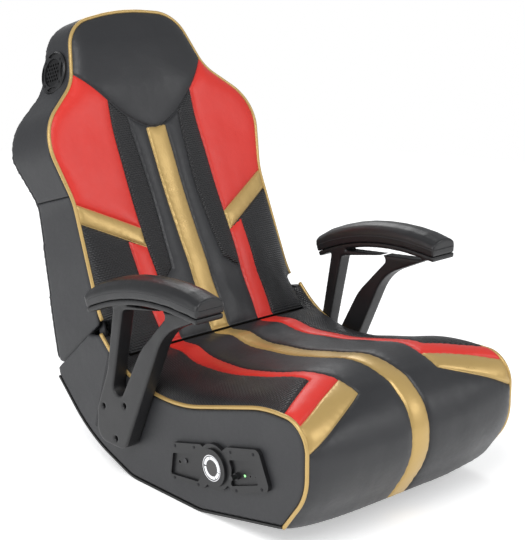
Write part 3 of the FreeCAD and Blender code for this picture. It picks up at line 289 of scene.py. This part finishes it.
def glowing(name, colour, strength):
    material, tree, shader = nodes_of(name)
    place = tree.nodes.new("ShaderNodeTexCoord").outputs["Object"]
    tree.links.new(tinted(tree, colour, noise_node(tree, place, 300.0), 0.1), shader.inputs["Base Color"])
    shader.inputs["Emission Color"].default_value = colour + (1,)
    shader.inputs["Emission Strength"].default_value = strength
    shader.inputs["Roughness"].default_value = 0.25
    return material


PAINT["lens_green"] = glowing("lens_green", (0.35, 0.95, 0.35), 0.7)
# The badge's white segments get a faint emission: a painted glow, since the badge is no lamp.
PAINT["ring_white_painted_glow"] = glowing("ring_white_painted_glow", (0.85, 0.87, 0.9), 0.15)
SLOT_OF = {row["node"]: row["material_slot"] for row in frame["record"]["subparts"]}
PAINT_OF_SLOT = {"piping_gold": "gold", "cover_vinyl": "cover", "cushion_vinyl": "black"}
MOULDED = ("arm_plastic", "panel_plastic")
MOULDED_EDGE = 0.0012

# Boards whose faces show in a gap, lined with black cloth
LINED = (
    "bottom_panel", "base_closing_board", "base_side_board_right", "base_side_board_left",
    "back_closing_board", "back_bottom_rail", "back_side_board_right", "back_side_board_left",
    "headrest_frame", "shoulder_rail", "back_panel",
)


def paint_nodes():
    """Each CAD piece in the paint of its slot, and the lined boards dark."""
    for name, node in NODES.items():
        slot = SLOT_OF[name]
        paint = "cover" if name in LINED else PAINT_OF_SLOT.get(slot, slot)
        node.data.materials.clear()
        node.data.materials.append(PAINT[paint])
        if slot in MOULDED:
            soften(node, MOULDED_EDGE)


def soften(node, width):
    """Small rounded edges on a moulded piece."""
    edge = node.modifiers.new("edge", "BEVEL")
    edge.width = width
    edge.segments = 3
    edge.limit_method = "ANGLE"
    edge.angle_limit = math.radians(50)
    edge.harden_normals = False


# Lines
def round_path(corners, closed=False, step=4.0):
    """Points every few millimetres along straight runs and the arcs in their corners."""
    points = [np.array(c[:2], float) for c in corners]
    count = len(points)
    path = []
    for i, corner in enumerate(corners):
        radius = corner[2]
        if radius == 0 or not (closed or 0 < i < count - 1):
            path.append(points[i])
            continue
        into = points[i] - points[i - 1]
        out = points[(i + 1) % count] - points[i]
        into /= np.linalg.norm(into)
        out /= np.linalg.norm(out)
        turn = math.atan2(into[0] * out[1] - into[1] * out[0], float(into @ out))
        side = 1 if turn > 0 else -1
        reach = radius * math.tan(abs(turn) / 2)
        start = points[i] - into * reach
        centre = start + np.array([-into[1], into[0]]) * radius * side
        runs = max(2, int(radius * abs(turn) / step))
        for k in range(runs + 1):
            angle = turn * k / runs
            spoke = start - centre
            path.append(centre + np.array([spoke[0] * math.cos(angle) - spoke[1] * math.sin(angle),
                                           spoke[0] * math.sin(angle) + spoke[1] * math.cos(angle)]))
    if closed:
        path.append(path[0])
    dense = [path[0]]
    for a, b in zip(path, path[1:]):
        length = np.linalg.norm(b - a)
        pieces = max(1, int(math.ceil(length / step)))
        dense += [a + (b - a) * (k + 1) / pieces for k in range(pieces) if length > 1e-6]
    return np.array(dense)


class Line:
    """A smooth line in the side view, with the outward side to the left or right of its travel."""

    def __init__(self, corners, side):
        self.points = round_path(corners, step=3.0)
        gaps = np.linalg.norm(np.diff(self.points, axis=0), axis=1)
        self.lengths = np.concatenate([[0], np.cumsum(gaps)])
        way = np.gradient(self.points, self.lengths, axis=0)
        way /= np.linalg.norm(way, axis=1)[:, None]
        self.out = np.stack([-way[:, 1], way[:, 0]], axis=1) * side
        self.length = self.lengths[-1]

    def at(self, s):
        y = np.interp(s, self.lengths, self.points[:, 0])
        z = np.interp(s, self.lengths, self.points[:, 1])
        out_y = np.interp(s, self.lengths, self.out[:, 0])
        out_z = np.interp(s, self.lengths, self.out[:, 1])
        return y, z, out_y, out_z

    def find(self, y, z):
        """How far along the line a side view place is, and how far it stands off it."""
        best = None
        for s in np.arange(0, self.length, 1.0):
            py, pz, oy, oz = self.at(s)
            gap = math.hypot(y - py, z - pz)
            if best is None or gap < best[0]:
                best = (gap, s, (y - py) * oy + (z - pz) * oz)
        return best[1], best[2]


SEAT_CORNERS = [(42.0, 34.4, 0), (-18, -20, 200), (-167, -46, 335), (-405, 21, 255), (-507, 21, 52),
                (-507, -102, 100), (-452, -175, 0)]
BACK_CORNERS = [(-1, -1, 0), (61.1, 50.8, 150), (186, 364, 600), (298, 582, 0)]
FRONT_HALF = [(236.0, 60.0, 0), (229.0, 290.0, 150), (260.0, 427.0, 97), (162.0, 510.5, 80),
              (127.4, 625.5, 72), (0.0, 645.0, 400)]
SEAT = Line(SEAT_CORNERS, -1)
BACK = Line(BACK_CORNERS, 1)


def back_up(s):
    """Height up the slanted front plane at a distance along the back's line."""
    y, z = BACK.at(s)[:2]
    return y * math.sin(SLANT) + z * math.cos(SLANT)


LADDER = np.arange(0, BACK.length + 1, 1.0)
LADDER_UP = back_up(LADDER)


def along_back(up):
    return np.interp(up, LADDER_UP, LADDER)


def back_outline_right():
    """Half of the back's piping line, from the nose up to the middle of the top, as (across, along)."""
    corners = [(236.0, back_up(80.0), 0)] + [c for c in FRONT_HALF if c[1] > back_up(80.0) + 5]
    mirror = [(-x, up, r) for x, up, r in reversed(corners[:-1])]
    path = round_path(corners + mirror, step=5.0)
    way = np.gradient(path, axis=0)
    way /= np.linalg.norm(way, axis=1)[:, None]
    inset = path + np.stack([-way[:, 1], way[:, 0]], axis=1) * PIPE_INSET
    half = inset[inset[:, 0] >= -0.5]
    return np.stack([half[:, 0], along_back(half[:, 1])], axis=1)


BACK_HALF = back_outline_right()
BACK_TOP = float(BACK_HALF[:, 1].max())


# Sewn sheets: flat panels in (across, along) laid on a line, puffed between their seams
def resample(points, step, closed=False):
    points = np.array(points, float)
    if closed:
        points = np.vstack([points, points[:1]])
    gaps = np.linalg.norm(np.diff(points, axis=0), axis=1)
    lengths = np.concatenate([[0], np.cumsum(gaps)])
    count = max(2, int(round(lengths[-1] / step)))
    at = np.linspace(0, lengths[-1], count + 1)
    made = np.stack([np.interp(at, lengths, points[:, k]) for k in range(2)], axis=1)
    for corner in points:
        nearest = np.argmin(np.linalg.norm(made - corner, axis=1))
        if np.linalg.norm(made[nearest] - corner) < step * 0.55:
            made[nearest] = corner
    return made[:-1] if closed else made


def inside(points, polygon):
    """Which points lie inside a polygon."""
    x, y = points[:, 0], points[:, 1]
    result = np.zeros(len(points), bool)
    polygon = np.asarray(polygon)
    previous = polygon[-1]
    for corner in polygon:
        crosses = (corner[1] > y) != (previous[1] > y)
        slope = (previous[0] - corner[0]) / (previous[1] - corner[1] + 1e-12)
        result ^= crosses & (x < slope * (y - corner[1]) + corner[0])
        previous = corner
    return result


def seam_distance(points, lines):
    """Distance of each point to the nearest seam, and how far along that seam it is."""
    best = np.full(len(points), 1e9)
    along = np.zeros(len(points))
    for line in lines:
        run = 0.0
        for a, b in zip(line, line[1:]):
            gap = b - a
            length = np.linalg.norm(gap)
            if length < 1e-9:
                continue
            share = np.clip(((points - a) @ gap) / length ** 2, 0, 1)
            near = np.linalg.norm(points - (a + share[:, None] * gap), axis=1)
            closer = near < best
            best[closer] = near[closer]
            along[closer] = run + share[closer] * length
            run += length
    return best, along


def flat_mesh(outline, seams, spacing, rows=(1.3, 3.2, 6.0)):
    """Triangles of a flat sheet with its seams as edges."""
    edge = resample(outline, 5.0, closed=True)
    lines = [resample(line, 5.0) for line in seams]
    points = [tuple(p) for p in edge]
    edges = [(i, (i + 1) % len(edge)) for i in range(len(edge))]
    for line in lines:
        first = len(points)
        points += [tuple(p) for p in line]
        edges += [(first + i, first + i + 1) for i in range(len(line) - 1)]
    every = lines + [np.vstack([edge, edge[:1]])]
    extra = []
    for line in every:
        way = np.gradient(line, axis=0)
        way /= np.maximum(np.linalg.norm(way, axis=1), 1e-9)[:, None]
        side = np.stack([-way[:, 1], way[:, 0]], axis=1)
        for offset in rows:
            for sign in (-1, 1):
                row = line + side * offset * sign
                extra.append(row[seam_distance(row, every)[0] > offset * 0.8])
    low, high = edge.min(axis=0), edge.max(axis=0)
    grid = []
    rise = spacing * 0.866
    for j in range(int((high[1] - low[1]) / rise) + 1):
        for i in range(int((high[0] - low[0]) / spacing) + 2):
            grid.append((low[0] + (i - 0.5 * (j % 2)) * spacing, low[1] + j * rise))
    grid = np.array(grid)
    grid = grid[seam_distance(grid, every)[0] > rows[-1] + spacing * 0.45]
    extra = np.vstack(extra + [grid])
    extra = extra[inside(extra, edge)]
    points += [tuple(p) for p in extra]
    made = geometry.delaunay_2d_cdt([Vector(p) for p in points], edges, [], 0, 1e-4)
    flat = np.array([tuple(v) for v in made[0]])
    faces = np.array([tuple(f) for f in made[2]])
    centres = flat[faces].mean(axis=1)
    faces = faces[inside(centres, edge)]
    owner = {}
    for index, sources in enumerate(made[3]):
        for source in sources:
            owner[source] = index
    ring = [owner[i] for i in range(len(edge))]
    return flat, faces, ring, every


def add_piece(name, body, verts, faces, materials, indices=None, uvs=None, smooth=True):
    """A mesh object riding on a body."""
    mesh = bpy.data.meshes.new(name)
    mesh.from_pydata([tuple(v) for v in verts], [], [tuple(f) for f in faces])
    for paint in materials:
        mesh.materials.append(paint)
    if indices is not None:
        mesh.polygons.foreach_set("material_index", np.asarray(indices, np.int32))
    if uvs is not None:
        layer = mesh.uv_layers.new(name="flat")
        loops = np.empty(len(mesh.loops), np.int32)
        mesh.loops.foreach_get("vertex_index", loops)
        layer.data.foreach_set("uv", np.asarray(uvs, np.float32)[loops].ravel())
    if smooth:
        mesh.polygons.foreach_set("use_smooth", np.ones(len(mesh.polygons), bool))
    mesh.update()
    piece = bpy.data.objects.new(name, mesh)
    bpy.context.scene.collection.objects.link(piece)
    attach(piece, body)
    return piece


def laid(flat, line, rise):
    """Places in the frame of flat (across, along) points at a height off a line."""
    y, z, out_y, out_z = line.at(flat[:, 1])
    return np.stack([flat[:, 0], y + out_y * rise + CREASE_Y, z + out_z * rise + CREASE_Z], axis=1) * MM


def sewn_cushion(name, body, line, outline, seams, panels, height, depth, fold_at,
                 spacing=9.0, puff=4.2, groove=2.0):
    """A closed cushion whose top is sewn from panels. Panels are (paint, polygon), first match wins."""
    flat, faces, ring, every = flat_mesh(outline, seams, spacing)
    gap, along = seam_distance(flat, every)
    edge_gap = seam_distance(flat, every[-1:])[0]
    rise = height(flat[:, 0], flat[:, 1])
    swell = puff * (1 - np.exp(-gap / 7.0)) - groove * np.exp(-(gap / 1.5) ** 2)
    pucker = np.exp(-gap / 9.0) * np.sin(along * 2 * math.pi / 15.0 + 3 * np.sin(along / 41.0)) * 0.55
    soft = np.array([noise.noise(Vector((x * 0.018, s * 0.018, 3.1))) for x, s in flat]) * 0.9
    folds = np.array([noise.noise(Vector((x * 0.055, s * 0.011, 7.7))) for x, s in flat])
    soft = soft + folds * (0.5 + 2.6 * np.exp(-((flat[:, 1] - fold_at) / 45.0) ** 2))
    rolled = np.clip(edge_gap / 6.0, 0, 1)
    rise = rise + swell * rolled + (pucker + soft) * np.clip(gap / 3.0, 0, 1) * rolled
    top = laid(flat, line, rise)

    centre = flat.mean(axis=0)
    rim = flat[ring]
    walls = []
    for drop, draw in ((3.0, 1.5), (depth * 0.5, 4.0), (depth, 2.5)):
        inward = centre - rim
        inward /= np.linalg.norm(inward, axis=1)[:, None]
        walls.append(laid(rim + inward * draw, line, -drop))
    floor_flat, floor_faces, _, _ = flat_mesh(rim + inward * 2.5, [], 45.0, rows=(22.0,))
    floor = laid(floor_flat, line, -depth)

    verts = [top] + walls + [floor]
    starts = np.cumsum([0] + [len(v) for v in verts])
    made = [tuple(f) for f in faces]
    paints = list(dict.fromkeys([p for p, _ in panels] + ["black"]))
    centres = flat[faces].mean(axis=1)
    indices = np.full(len(faces), paints.index("black"))
    taken = np.zeros(len(faces), bool)
    for paint, polygon in panels:
        hit = inside(centres, polygon) & ~taken
        indices[hit] = paints.index(paint)
        taken |= hit
    indices = list(indices)
    count = len(ring)
    rings = [ring] + [list(range(starts[k + 1], starts[k + 1] + count)) for k in range(len(walls))]
    for upper, lower in zip(rings, rings[1:]):
        for i in range(count):
            j = (i + 1) % count
            made.append((upper[i], lower[i], lower[j], upper[j]))
            indices.append(paints.index("black"))
    last = starts[len(walls) + 1]
    made += [tuple(int(v) + last for v in reversed(f)) for f in floor_faces]
    indices += [paints.index("black")] * len(floor_faces)
    verts = np.vstack(verts)
    uv = np.zeros((len(verts), 2))
    uv[:len(flat)] = flat * MM
    piece = add_piece(name, body, verts, made, [PAINT[p] for p in paints], indices, uv)
    weld(piece)
    return piece


def weld(piece):
    """Joins doubled points and turns all faces outward."""
    work = bmesh.new()
    work.from_mesh(piece.data)
    bmesh.ops.remove_doubles(work, verts=work.verts, dist=2e-5)
    bmesh.ops.recalc_face_normals(work, faces=work.faces)
    work.to_mesh(piece.data)
    work.free()


def seat_place(x, y, z):
    return (x, SEAT.find(y, z)[0])


def back_place(x, y, z):
    return (x, BACK.find(y, z)[0])


def smooth_curve(points, step=5.0):
    """A smooth curve through a few points."""
    points = np.array(points, float)
    if len(points) < 3:
        return resample(points, step)
    padded = np.vstack([2 * points[0] - points[1], points, 2 * points[-1] - points[-2]])
    made = []
    for i in range(1, len(padded) - 2):
        a, b, c, d = padded[i - 1:i + 3]
        runs = max(2, int(np.linalg.norm(c - b) / step))
        for k in range(runs):
            t = k / runs
            made.append(0.5 * (2 * b + (c - a) * t + (2 * a - 5 * b + 4 * c - d) * t ** 2 +
                               (3 * b - a - 3 * c + d) * t ** 3))
    made.append(points[-1])
    return np.array(made)


# Middle lines of the cushions, as side view places on their crowns
SEAT_MIDDLE = [(-4, 1), (-63, 7), (-100, 1), (-172, 5), (-241, 14), (-308, 28), (-372, 42), (-414, 42),
               (-455, 33), (-486, 14), (-512, -14), (-523, -45), (-524, -69), (-515, -107), (-497, -141),
               (-483, -163)]
SEAT_RISE = np.array([SEAT.find(y, z) for y, z in SEAT_MIDDLE])
BACK_MIDDLE = [(-5, 1), (20, 45), (55, 105), (90, 170), (125, 235), (158, 305), (187, 368)]
HEAD_RISE = [(BACK_TOP * 0.78, 17.0), (BACK_TOP * 0.88, 16.0), (BACK_TOP, 2.0)]
BACK_RISE = np.array([BACK.find(y, z) for y, z in BACK_MIDDLE] + HEAD_RISE)


def flat_topped(share, broad=3.5, round_by=1.4):
    """Height across a cushion as a share of its middle: flat over the middle, steep at its sides."""
    return (1 - np.clip(np.abs(share), 0, 1) ** broad) ** (1 / round_by)


def eased(s, stations):
    """Smooth interpolation through stations of (along, height)."""
    order = np.argsort(stations[:, 0])
    stations = stations[order]
    index = np.clip(np.searchsorted(stations[:, 0], s) - 1, 0, len(stations) - 2)
    a, b = stations[index], stations[index + 1]
    slopes = np.gradient(stations[:, 1], stations[:, 0])
    width = b[:, 0] - a[:, 0]
    t = np.clip((s - a[:, 0]) / width, 0, 1)
    return ((2 * t ** 3 - 3 * t ** 2 + 1) * a[:, 1] + (t ** 3 - 2 * t ** 2 + t) * width * slopes[index] +
            (-2 * t ** 3 + 3 * t ** 2) * b[:, 1] + (t ** 3 - t ** 2) * width * slopes[index + 1])


def seat_height(x, s):
    return eased(s, SEAT_RISE) * flat_topped(x / SEAT_HALF)


def back_half_at(s):
    rising = BACK_HALF[np.argsort(BACK_HALF[:, 1])]
    return np.interp(s, rising[:, 1], rising[:, 0])


def back_height(x, s):
    near_top = np.clip((BACK_TOP - s) / 60.0, 0, 1)
    return eased(s, BACK_RISE) * flat_topped(x / back_half_at(s)) * near_top ** 0.5


def make_seat():
    crease = SEAT.find(-3, -4)[0] + 2.0
    tip = 8.0
    end = SEAT.length - 1.0
    knuckle = 217.5
    half = SEAT_HALF
    right = [(knuckle, crease), (knuckle, tip), (half, tip), (half, end)]
    outline = right + [(-x, s) for x, s in reversed(right)]
    stripe = 21.0
    red_in = smooth_curve([(95, crease), seat_place(108, -110, 4), seat_place(124, -236, 15),
                           seat_place(121, -330, 34), seat_place(100, -424, 45)])
    red_out = smooth_curve([(133, crease), seat_place(146, -110, 0), seat_place(151, -208, 4),
                            seat_place(149, -310, 27), seat_place(139, -396, 42)])
    band_top = resample([seat_place(139, -396, 42), (half, SEAT.find(-450, 25)[0])], 5.0)
    band_mid = resample([seat_place(100, -424, 45), (half, SEAT.find(-484, 8)[0])], 5.0)
    band_low = resample([seat_place(96, -469, 33), (half, SEAT.find(-505, -32)[0])], 5.0)
    gold_end = resample([red_in[-1], band_low[0]], 5.0)
    seams, panels = [], []
    for sign in (1, -1):
        flip = np.array([sign, 1.0])
        gold = np.vstack([band_mid, band_low[::-1]])
        red = np.vstack([red_in, band_mid, band_top[::-1], red_out[::-1]])
        ribbed = np.vstack([red_out, band_top, [(half + 5, tip - 5), (knuckle - 90, tip - 5)]])
        panels += [("gold", gold * flip), ("red", red * flip), ("ribbed", ribbed * flip)]
        for line in (red_in, red_out, band_top, band_mid, band_low, gold_end):
            seams.append(line * flip)
        seams.append(np.array([(stripe * sign, crease), (stripe * sign, end)]))
    panels.append(("gold", np.array([(-stripe, crease - 1), (stripe, crease - 1), (stripe, end + 1),
                                     (-stripe, end + 1)])))
    piece = sewn_cushion("seat_cover", "base", SEAT, outline, seams, panels, seat_height, 30.0, crease + 30)
    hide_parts("seat_cushion")
    return piece


def make_back():
    nose = 80.0
    knuckle = 214.5
    rising = [tuple(p) for p in BACK_HALF]
    right = [(knuckle, 1.0), (knuckle, nose - 6), (rising[0][0], nose)] + rising[1:]
    outline = right + [(-x, s) for x, s in reversed(right) if x > 0.5]
    top = BACK_TOP

    def edge_at(z):
        s = BACK.find(np.interp(z, [50.8, 364, 582], [61.1, 186, 298]), z)[0]
        return (float(back_half_at(s)), s)

    head = smooth_curve([(0, back_place(0, 184, 365)[1]), back_place(24, 187, 371), back_place(61, 196, 391),
                         back_place(99, 210, 423), edge_at(476)])
    stripe = np.array([(23.0, head[0][1]), (21.0, 1.0)])
    flat_edge = smooth_curve([back_place(61, 196, 391), back_place(56, 150, 320), back_place(54, 121, 241),
                              back_place(60, 75, 150), back_place(63, 65, 119)])
    jog = resample([flat_edge[-1], back_place(91, 40, 104)], 5.0)
    rib_edge = smooth_curve([back_place(99, 210, 423), back_place(101, 160, 320), back_place(102, 105, 197),
                             back_place(102, 88, 163), back_place(98, 45, 85), (95, 1.0)])
    red_edge = smooth_curve([back_place(138, 93, 179), back_place(137, 60, 110), (133, 1.0)])
    chevron_top = resample([back_place(102, 105, 197), edge_at(256)], 5.0)
    chevron_low = resample([back_place(102, 88, 163), edge_at(221)], 5.0)
    below = rib_edge[rib_edge[:, 1] <= chevron_low[0][1]]
    between = rib_edge[(rib_edge[:, 1] >= chevron_top[0][1])]
    seams, panels = [], []
    far = 400.0
    for sign in (1, -1):
        flip = np.array([sign, 1.0])
        headrest = np.vstack([head, [(far, head[-1][1]), (far, top + 50), (0, top + 50)]])
        gold = np.vstack([chevron_top, [(far, chevron_top[-1][1]), (far, chevron_low[-1][1])],
                          chevron_low[::-1]])
        shoulder = np.vstack([between, chevron_top, [(far, chevron_top[-1][1]), (far, head[-1][1])],
                              head[::-1]])
        strip = np.vstack([chevron_low[:1], below, red_edge[::-1]])
        side = np.vstack([chevron_low, [(far, chevron_low[-1][1]), (far, -20)], [(133, -20)], red_edge[::-1]])
        inner = np.vstack([flat_edge, jog, rib_edge[rib_edge[:, 1] < jog[-1][1]], [(0, 0), (0, head[0][1])]])
        panels += [("black", headrest * flip), ("gold", gold * flip), ("red", shoulder * flip)]
        panels += [("red", strip * flip), ("ribbed", side * flip), ("black", inner * flip)]
        rib_zone = np.vstack([flat_edge, jog, rib_edge[(rib_edge[:, 1] >= jog[-1][1])][::-1]])
        panels += [("ribbed", rib_zone * flip)]
        for line in (head, flat_edge, jog, rib_edge, red_edge, chevron_top, chevron_low, stripe):
            seams.append(line * flip)
    gold_stripe = np.array([(-23.0, head[0][1] + 1), (23.0, head[0][1] + 1), (21.0, -5), (-21.0, -5)])
    panels.insert(0, ("black", np.vstack([head, [(far, head[-1][1]), (far, top + 50), (-far, top + 50),
                                                 (-far, head[-1][1])], (head * np.array([-1, 1]))[::-1]])))
    panels.insert(1, ("gold", gold_stripe))
    piece = sewn_cushion("back_cover", "back", BACK, outline, seams, panels, back_height, 22.0, 60.0)
    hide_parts("back_cushion")
    return piece


# Piping
def tube(name, body, points, radius, paint, sides=14):
    """A round cord along points in metres, closed at its ends."""
    points = np.array([tuple(p) for p in points])
    way = np.gradient(points, axis=0)
    way /= np.linalg.norm(way, axis=1)[:, None]
    normal = np.cross(way[0], (0.3, 0.8, 0.5))
    normal /= np.linalg.norm(normal)
    verts, faces = [], []
    for i, (place, ahead) in enumerate(zip(points, way)):
        normal = normal - ahead * (normal @ ahead)
        normal /= np.linalg.norm(normal)
        other = np.cross(ahead, normal)
        for k in range(sides):
            angle = 2 * math.pi * k / sides
            verts.append(place + radius * (math.cos(angle) * normal + math.sin(angle) * other))
    for i in range(len(points) - 1):
        for k in range(sides):
            j = (k + 1) % sides
            faces.append((i * sides + k, i * sides + j, (i + 1) * sides + j, (i + 1) * sides + k))
    faces.append(tuple(reversed(range(sides))))
    faces.append(tuple(range((len(points) - 1) * sides, len(points) * sides)))
    piece = add_piece(name, body, verts, faces, [paint])
    return piece


def make_piping():
    for side, sign in SIDES:
        s = np.arange(0, SEAT.length, 4.0)
        y, z = SEAT.at(s)[:2]
        path = [crease_place(sign * SEAT_HALF, a, b) for a, b in zip(y, z)]
        piece = tube("seat_piping_" + side, "base", path, PIPE_RADIUS * MM, PAINT["gold"])
        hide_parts("base_piping_" + side)
    half = BACK_HALF
    whole = np.vstack([half, half[::-1][1:] * np.array([-1, 1])])
    whole = resample(whole, 5.0)
    y, z = BACK.at(whole[:, 1])[:2]
    path = [crease_place(x, a, b) for x, a, b in zip(whole[:, 0], y, z)]
    piece = tube("headrest_piping", "back", path, PIPE_RADIUS * MM, PAINT["gold"])
    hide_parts("back_piping")


# Covers: the CAD plates with rounded, upholstered edges
def upholstered(name, node, body, paint, voxel, turns):
    source = NODES[node]
    mesh = source.data.copy()
    piece = bpy.data.objects.new(name, mesh)
    bpy.context.scene.collection.objects.link(piece)
    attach(piece, body)
    remesh = piece.modifiers.new("remesh", "REMESH")
    remesh.mode = "VOXEL"
    remesh.voxel_size = voxel
    soft = piece.modifiers.new("soft", "SMOOTH")
    soft.factor = 0.5
    soft.iterations = turns
    graph = bpy.context.evaluated_depsgraph_get()
    shaped = bpy.data.meshes.new_from_object(piece.evaluated_get(graph))
    piece.modifiers.clear()
    piece.data = shaped
    shaped.materials.clear()
    shaped.materials.append(paint)
    shaped.polygons.foreach_set("use_smooth", np.ones(len(shaped.polygons), bool))
    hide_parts(node)
    return piece


def make_covers():
    for side, _ in SIDES:
        upholstered("base_side_skin_" + side, "base_side_cover_" + side, "base", PAINT["cover"], 0.0035, 3)
        upholstered("back_side_skin_" + side, "back_side_cover_" + side, "back", PAINT["cover"], 0.0030, 3)
        upholstered("head_side_skin_" + side, "head_side_cover_" + side, "back", PAINT["cover"], 0.0030, 3)
        pad = upholstered("arm_cushion_" + side, "arm_pad_" + side, "base", PAINT["pad"], 0.0022, 8)
        upholstered("arm_moulding_" + side, "arm_frame_" + side, "base", PAINT["arm_plastic"], 0.0018, 16)
    upholstered("back_rear_skin", "back_rear_cover", "back", PAINT["cover"], 0.0030, 2)


def disc(centre, way, side, radius, thick, count=40, inner=0.0, start=0.0, sweep=2 * math.pi):
    """Verts and faces of a flat disc or a part of a ring, thick along its way."""
    way, side = Vector(way).normalized(), Vector(side).normalized()
    over = way.cross(side)
    verts, faces = [], []
    closed = sweep > 6.28
    angles = [start + sweep * i / count for i in range(count + (0 if closed else 1))]
    for angle in angles:
        spoke = side * math.cos(angle) + over * math.sin(angle)
        for reach in (radius, inner):
            verts += [centre + spoke * reach, centre + spoke * reach + way * thick]
    total = len(angles)
    for i in range(total if closed else total - 1):
        a, b = 4 * i, 4 * ((i + 1) % total)
        faces += [(a, b, b + 1, a + 1), (a + 1, b + 1, b + 3, a + 3),
                  (a + 3, b + 3, b + 2, a + 2), (a + 2, b + 2, b, a)]
    if not closed:
        last = 4 * (total - 1)
        faces += [(0, 1, 3, 2), (last, last + 2, last + 3, last + 1)]
    return verts, faces


def join_parts(parts):
    verts, faces = [], []
    for part_verts, part_faces in parts:
        base = len(verts)
        verts += part_verts
        faces += [tuple(v + base for v in face) for face in part_faces]
    return verts, faces


def make_badge_ring():
    """White segments between the chrome ring and the bare dark middle of the round disc, lifted by a faint
    painted glow.
    """
    low, high = box_of("disc_badge")
    centre = Vector((low.x - 0.0001, (low.y + high.y) / 2, (low.z + high.z) / 2))
    radius = (high.z - low.z) / 2
    segments = ((0.10, 1.95), (2.15, 0.75), (2.98, 2.05), (5.12, 1.10))
    parts = [disc(centre, (-1, 0, 0), (0, 1, 0), radius * 0.93, 0.0004, 24, radius * 0.68, start, sweep)
             for start, sweep in segments]
    verts, faces = join_parts(parts)
    piece = add_piece("badge_segments", "base", verts, faces, [PAINT["ring_white_painted_glow"]], smooth=False)
    weld(piece)


def make_screws():
    """Dark sunk heads on the panel and the speaker pods."""
    rows = (
        ("panel_screws", "panel_screw_heads", "base", 1.15),
        ("speaker_screws_right", "pod_screw_heads_right", "back", 1.0),
        ("speaker_screws_left", "pod_screw_heads_left", "back", 1.0),
    )
    for node, name, body, wide in rows:
        parts = []
        for centre, way, radius in loose_heads(node):
            side = way.orthogonal().normalized()
            foot = centre - way * 0.0007
            parts.append(disc(foot, way, side, radius * wide, 0.00025, 20))
            parts.append(disc(foot, way, side, radius * 0.72, 0.0005, 16))
        verts, faces = join_parts(parts)
        piece = add_piece(name, body, verts, faces, [PAINT["screw_steel"]], smooth=False)
        weld(piece)
        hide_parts(node)


def shells_of(work):
    """The separate shells of a mesh, each as a list of its points, in the order of the mesh."""
    seen = set()
    shells = []
    for first in work.verts:
        if first.index in seen:
            continue
        seen.add(first.index)
        shell = [first]
        for vert in shell:
            for edge in vert.link_edges:
                other = edge.other_vert(vert)
                if other.index not in seen:
                    seen.add(other.index)
                    shell.append(other)
        shells.append(shell)
    return shells


def loose_heads(node):
    """Centre, outward way and radius of each small prism of a node."""
    work = bmesh.new()
    work.from_mesh(NODES[node].data)
    bmesh.ops.remove_doubles(work, verts=work.verts, dist=1e-5)
    work.verts.index_update()
    heads = []
    for shell in shells_of(work):
        own = {vert.index for vert in shell}
        centre = sum((vert.co for vert in shell), Vector()) / len(shell)
        faces = [face for face in work.faces if face.verts[0].index in own]
        cap = max(faces, key=lambda face: face.calc_area())
        way = cap.normal.copy()
        if way.x * centre.x < 0:
            way = -way
        offsets = [vert.co - centre for vert in shell]
        radius = max((offset - way * (offset @ way)).length for offset in offsets)
        heads.append((centre, way, radius))
    work.free()
    heads.sort(key=lambda head: (round(head[0].y, 4), round(head[0].z, 4)))
    return heads


def make_pad_seams():
    """The seam along each side of an arm pad, and round its front."""
    line = Line([(-5, 109, 0), (-143, 172, 510), (-311, 160, 0)], -1)
    up = 12.5
    stations = np.linspace(8, line.length - 4, 40)

    def along_side(across, order):
        places = [line.at(s) for s in order]
        return [crease_place(across, y + out_y * up, z + out_z * up) for y, z, out_y, out_z in places]

    for side, sign in SIDES:
        low, high = box_of("arm_pad_" + side)
        inner, outer = (high.x, low.x) if sign < 0 else (low.x, high.x)
        y, z, out_y, out_z = line.at(line.length)
        front = crease_place(0, y - 0.6 + out_y * up, z + out_z * up)
        points = along_side(outer * 1000 - sign * 0.4, stations)
        for share in np.linspace(0.08, 0.92, 9):
            points.append(Vector((outer + (inner - outer) * share, front.y, front.z)))
        points += along_side(inner * 1000 + sign * 0.4, stations[::-1])
        piece = tube("pad_seam_" + side, "base", points, 0.0009, PAINT["thread"], 8)


def make_side_seams():
    """The upright seam on each side of the base, behind the arm."""
    path = smooth_curve([(13, 7), (31, -49), (45, -93), (62, -150)], 4.0)
    run = np.concatenate([[0], np.cumsum(np.linalg.norm(np.diff(path, axis=0), axis=1))])
    for side, sign in SIDES:
        for row, gap in (("front", -2.2), ("rear", 2.2)):
            parts = []
            for start in np.arange(2.0, run[-1] - 4, 4.4):
                ends = []
                for along in (start, start + 2.9):
                    y, z = np.interp(along, run, path[:, 0]), np.interp(along, run, path[:, 1])
                    ends.append(crease_place(sign * 250.2, y + gap, z))
                parts.append(stitch(ends[0], ends[1], 0.00035))
            verts, faces = join_parts(parts)
            name = "base_stitches_%s_%s" % (side, row)
            piece = add_piece(name, "base", verts, faces, [PAINT["thread"]])
        middle = [crease_place(sign * 249.6, y, z) for y, z in path]
        seam = tube("base_seam_" + side, "base", middle, 0.0008, PAINT["cover"], 8)


def stitch(start, end, radius):
    """One short length of thread."""
    way = (end - start).normalized()
    side = way.orthogonal().normalized()
    over = way.cross(side)
    verts, faces = [], []
    for share, wide in ((0.0, 0.4), (0.2, 1.0), (0.8, 1.0), (1.0, 0.4)):
        centre = start.lerp(end, share)
        for k in range(6):
            angle = math.pi * k / 3
            verts.append(centre + (side * math.cos(angle) + over * math.sin(angle)) * radius * wide)
    for ring in range(3):
        for k in range(6):
            a, b = ring * 6 + k, ring * 6 + (k + 1) % 6
            faces.append((a, b, b + 6, a + 6))
    faces += [(5, 4, 3, 2, 1, 0), (18, 19, 20, 21, 22, 23)]
    return verts, faces


def box_of(node):
    low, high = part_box(node)
    return Vector(low), Vector(high)


make_camera()
make_stage()
paint_nodes()
make_seat()
make_back()
make_piping()
make_covers()
make_badge_ring()
make_screws()
make_pad_seams()
make_side_seams()
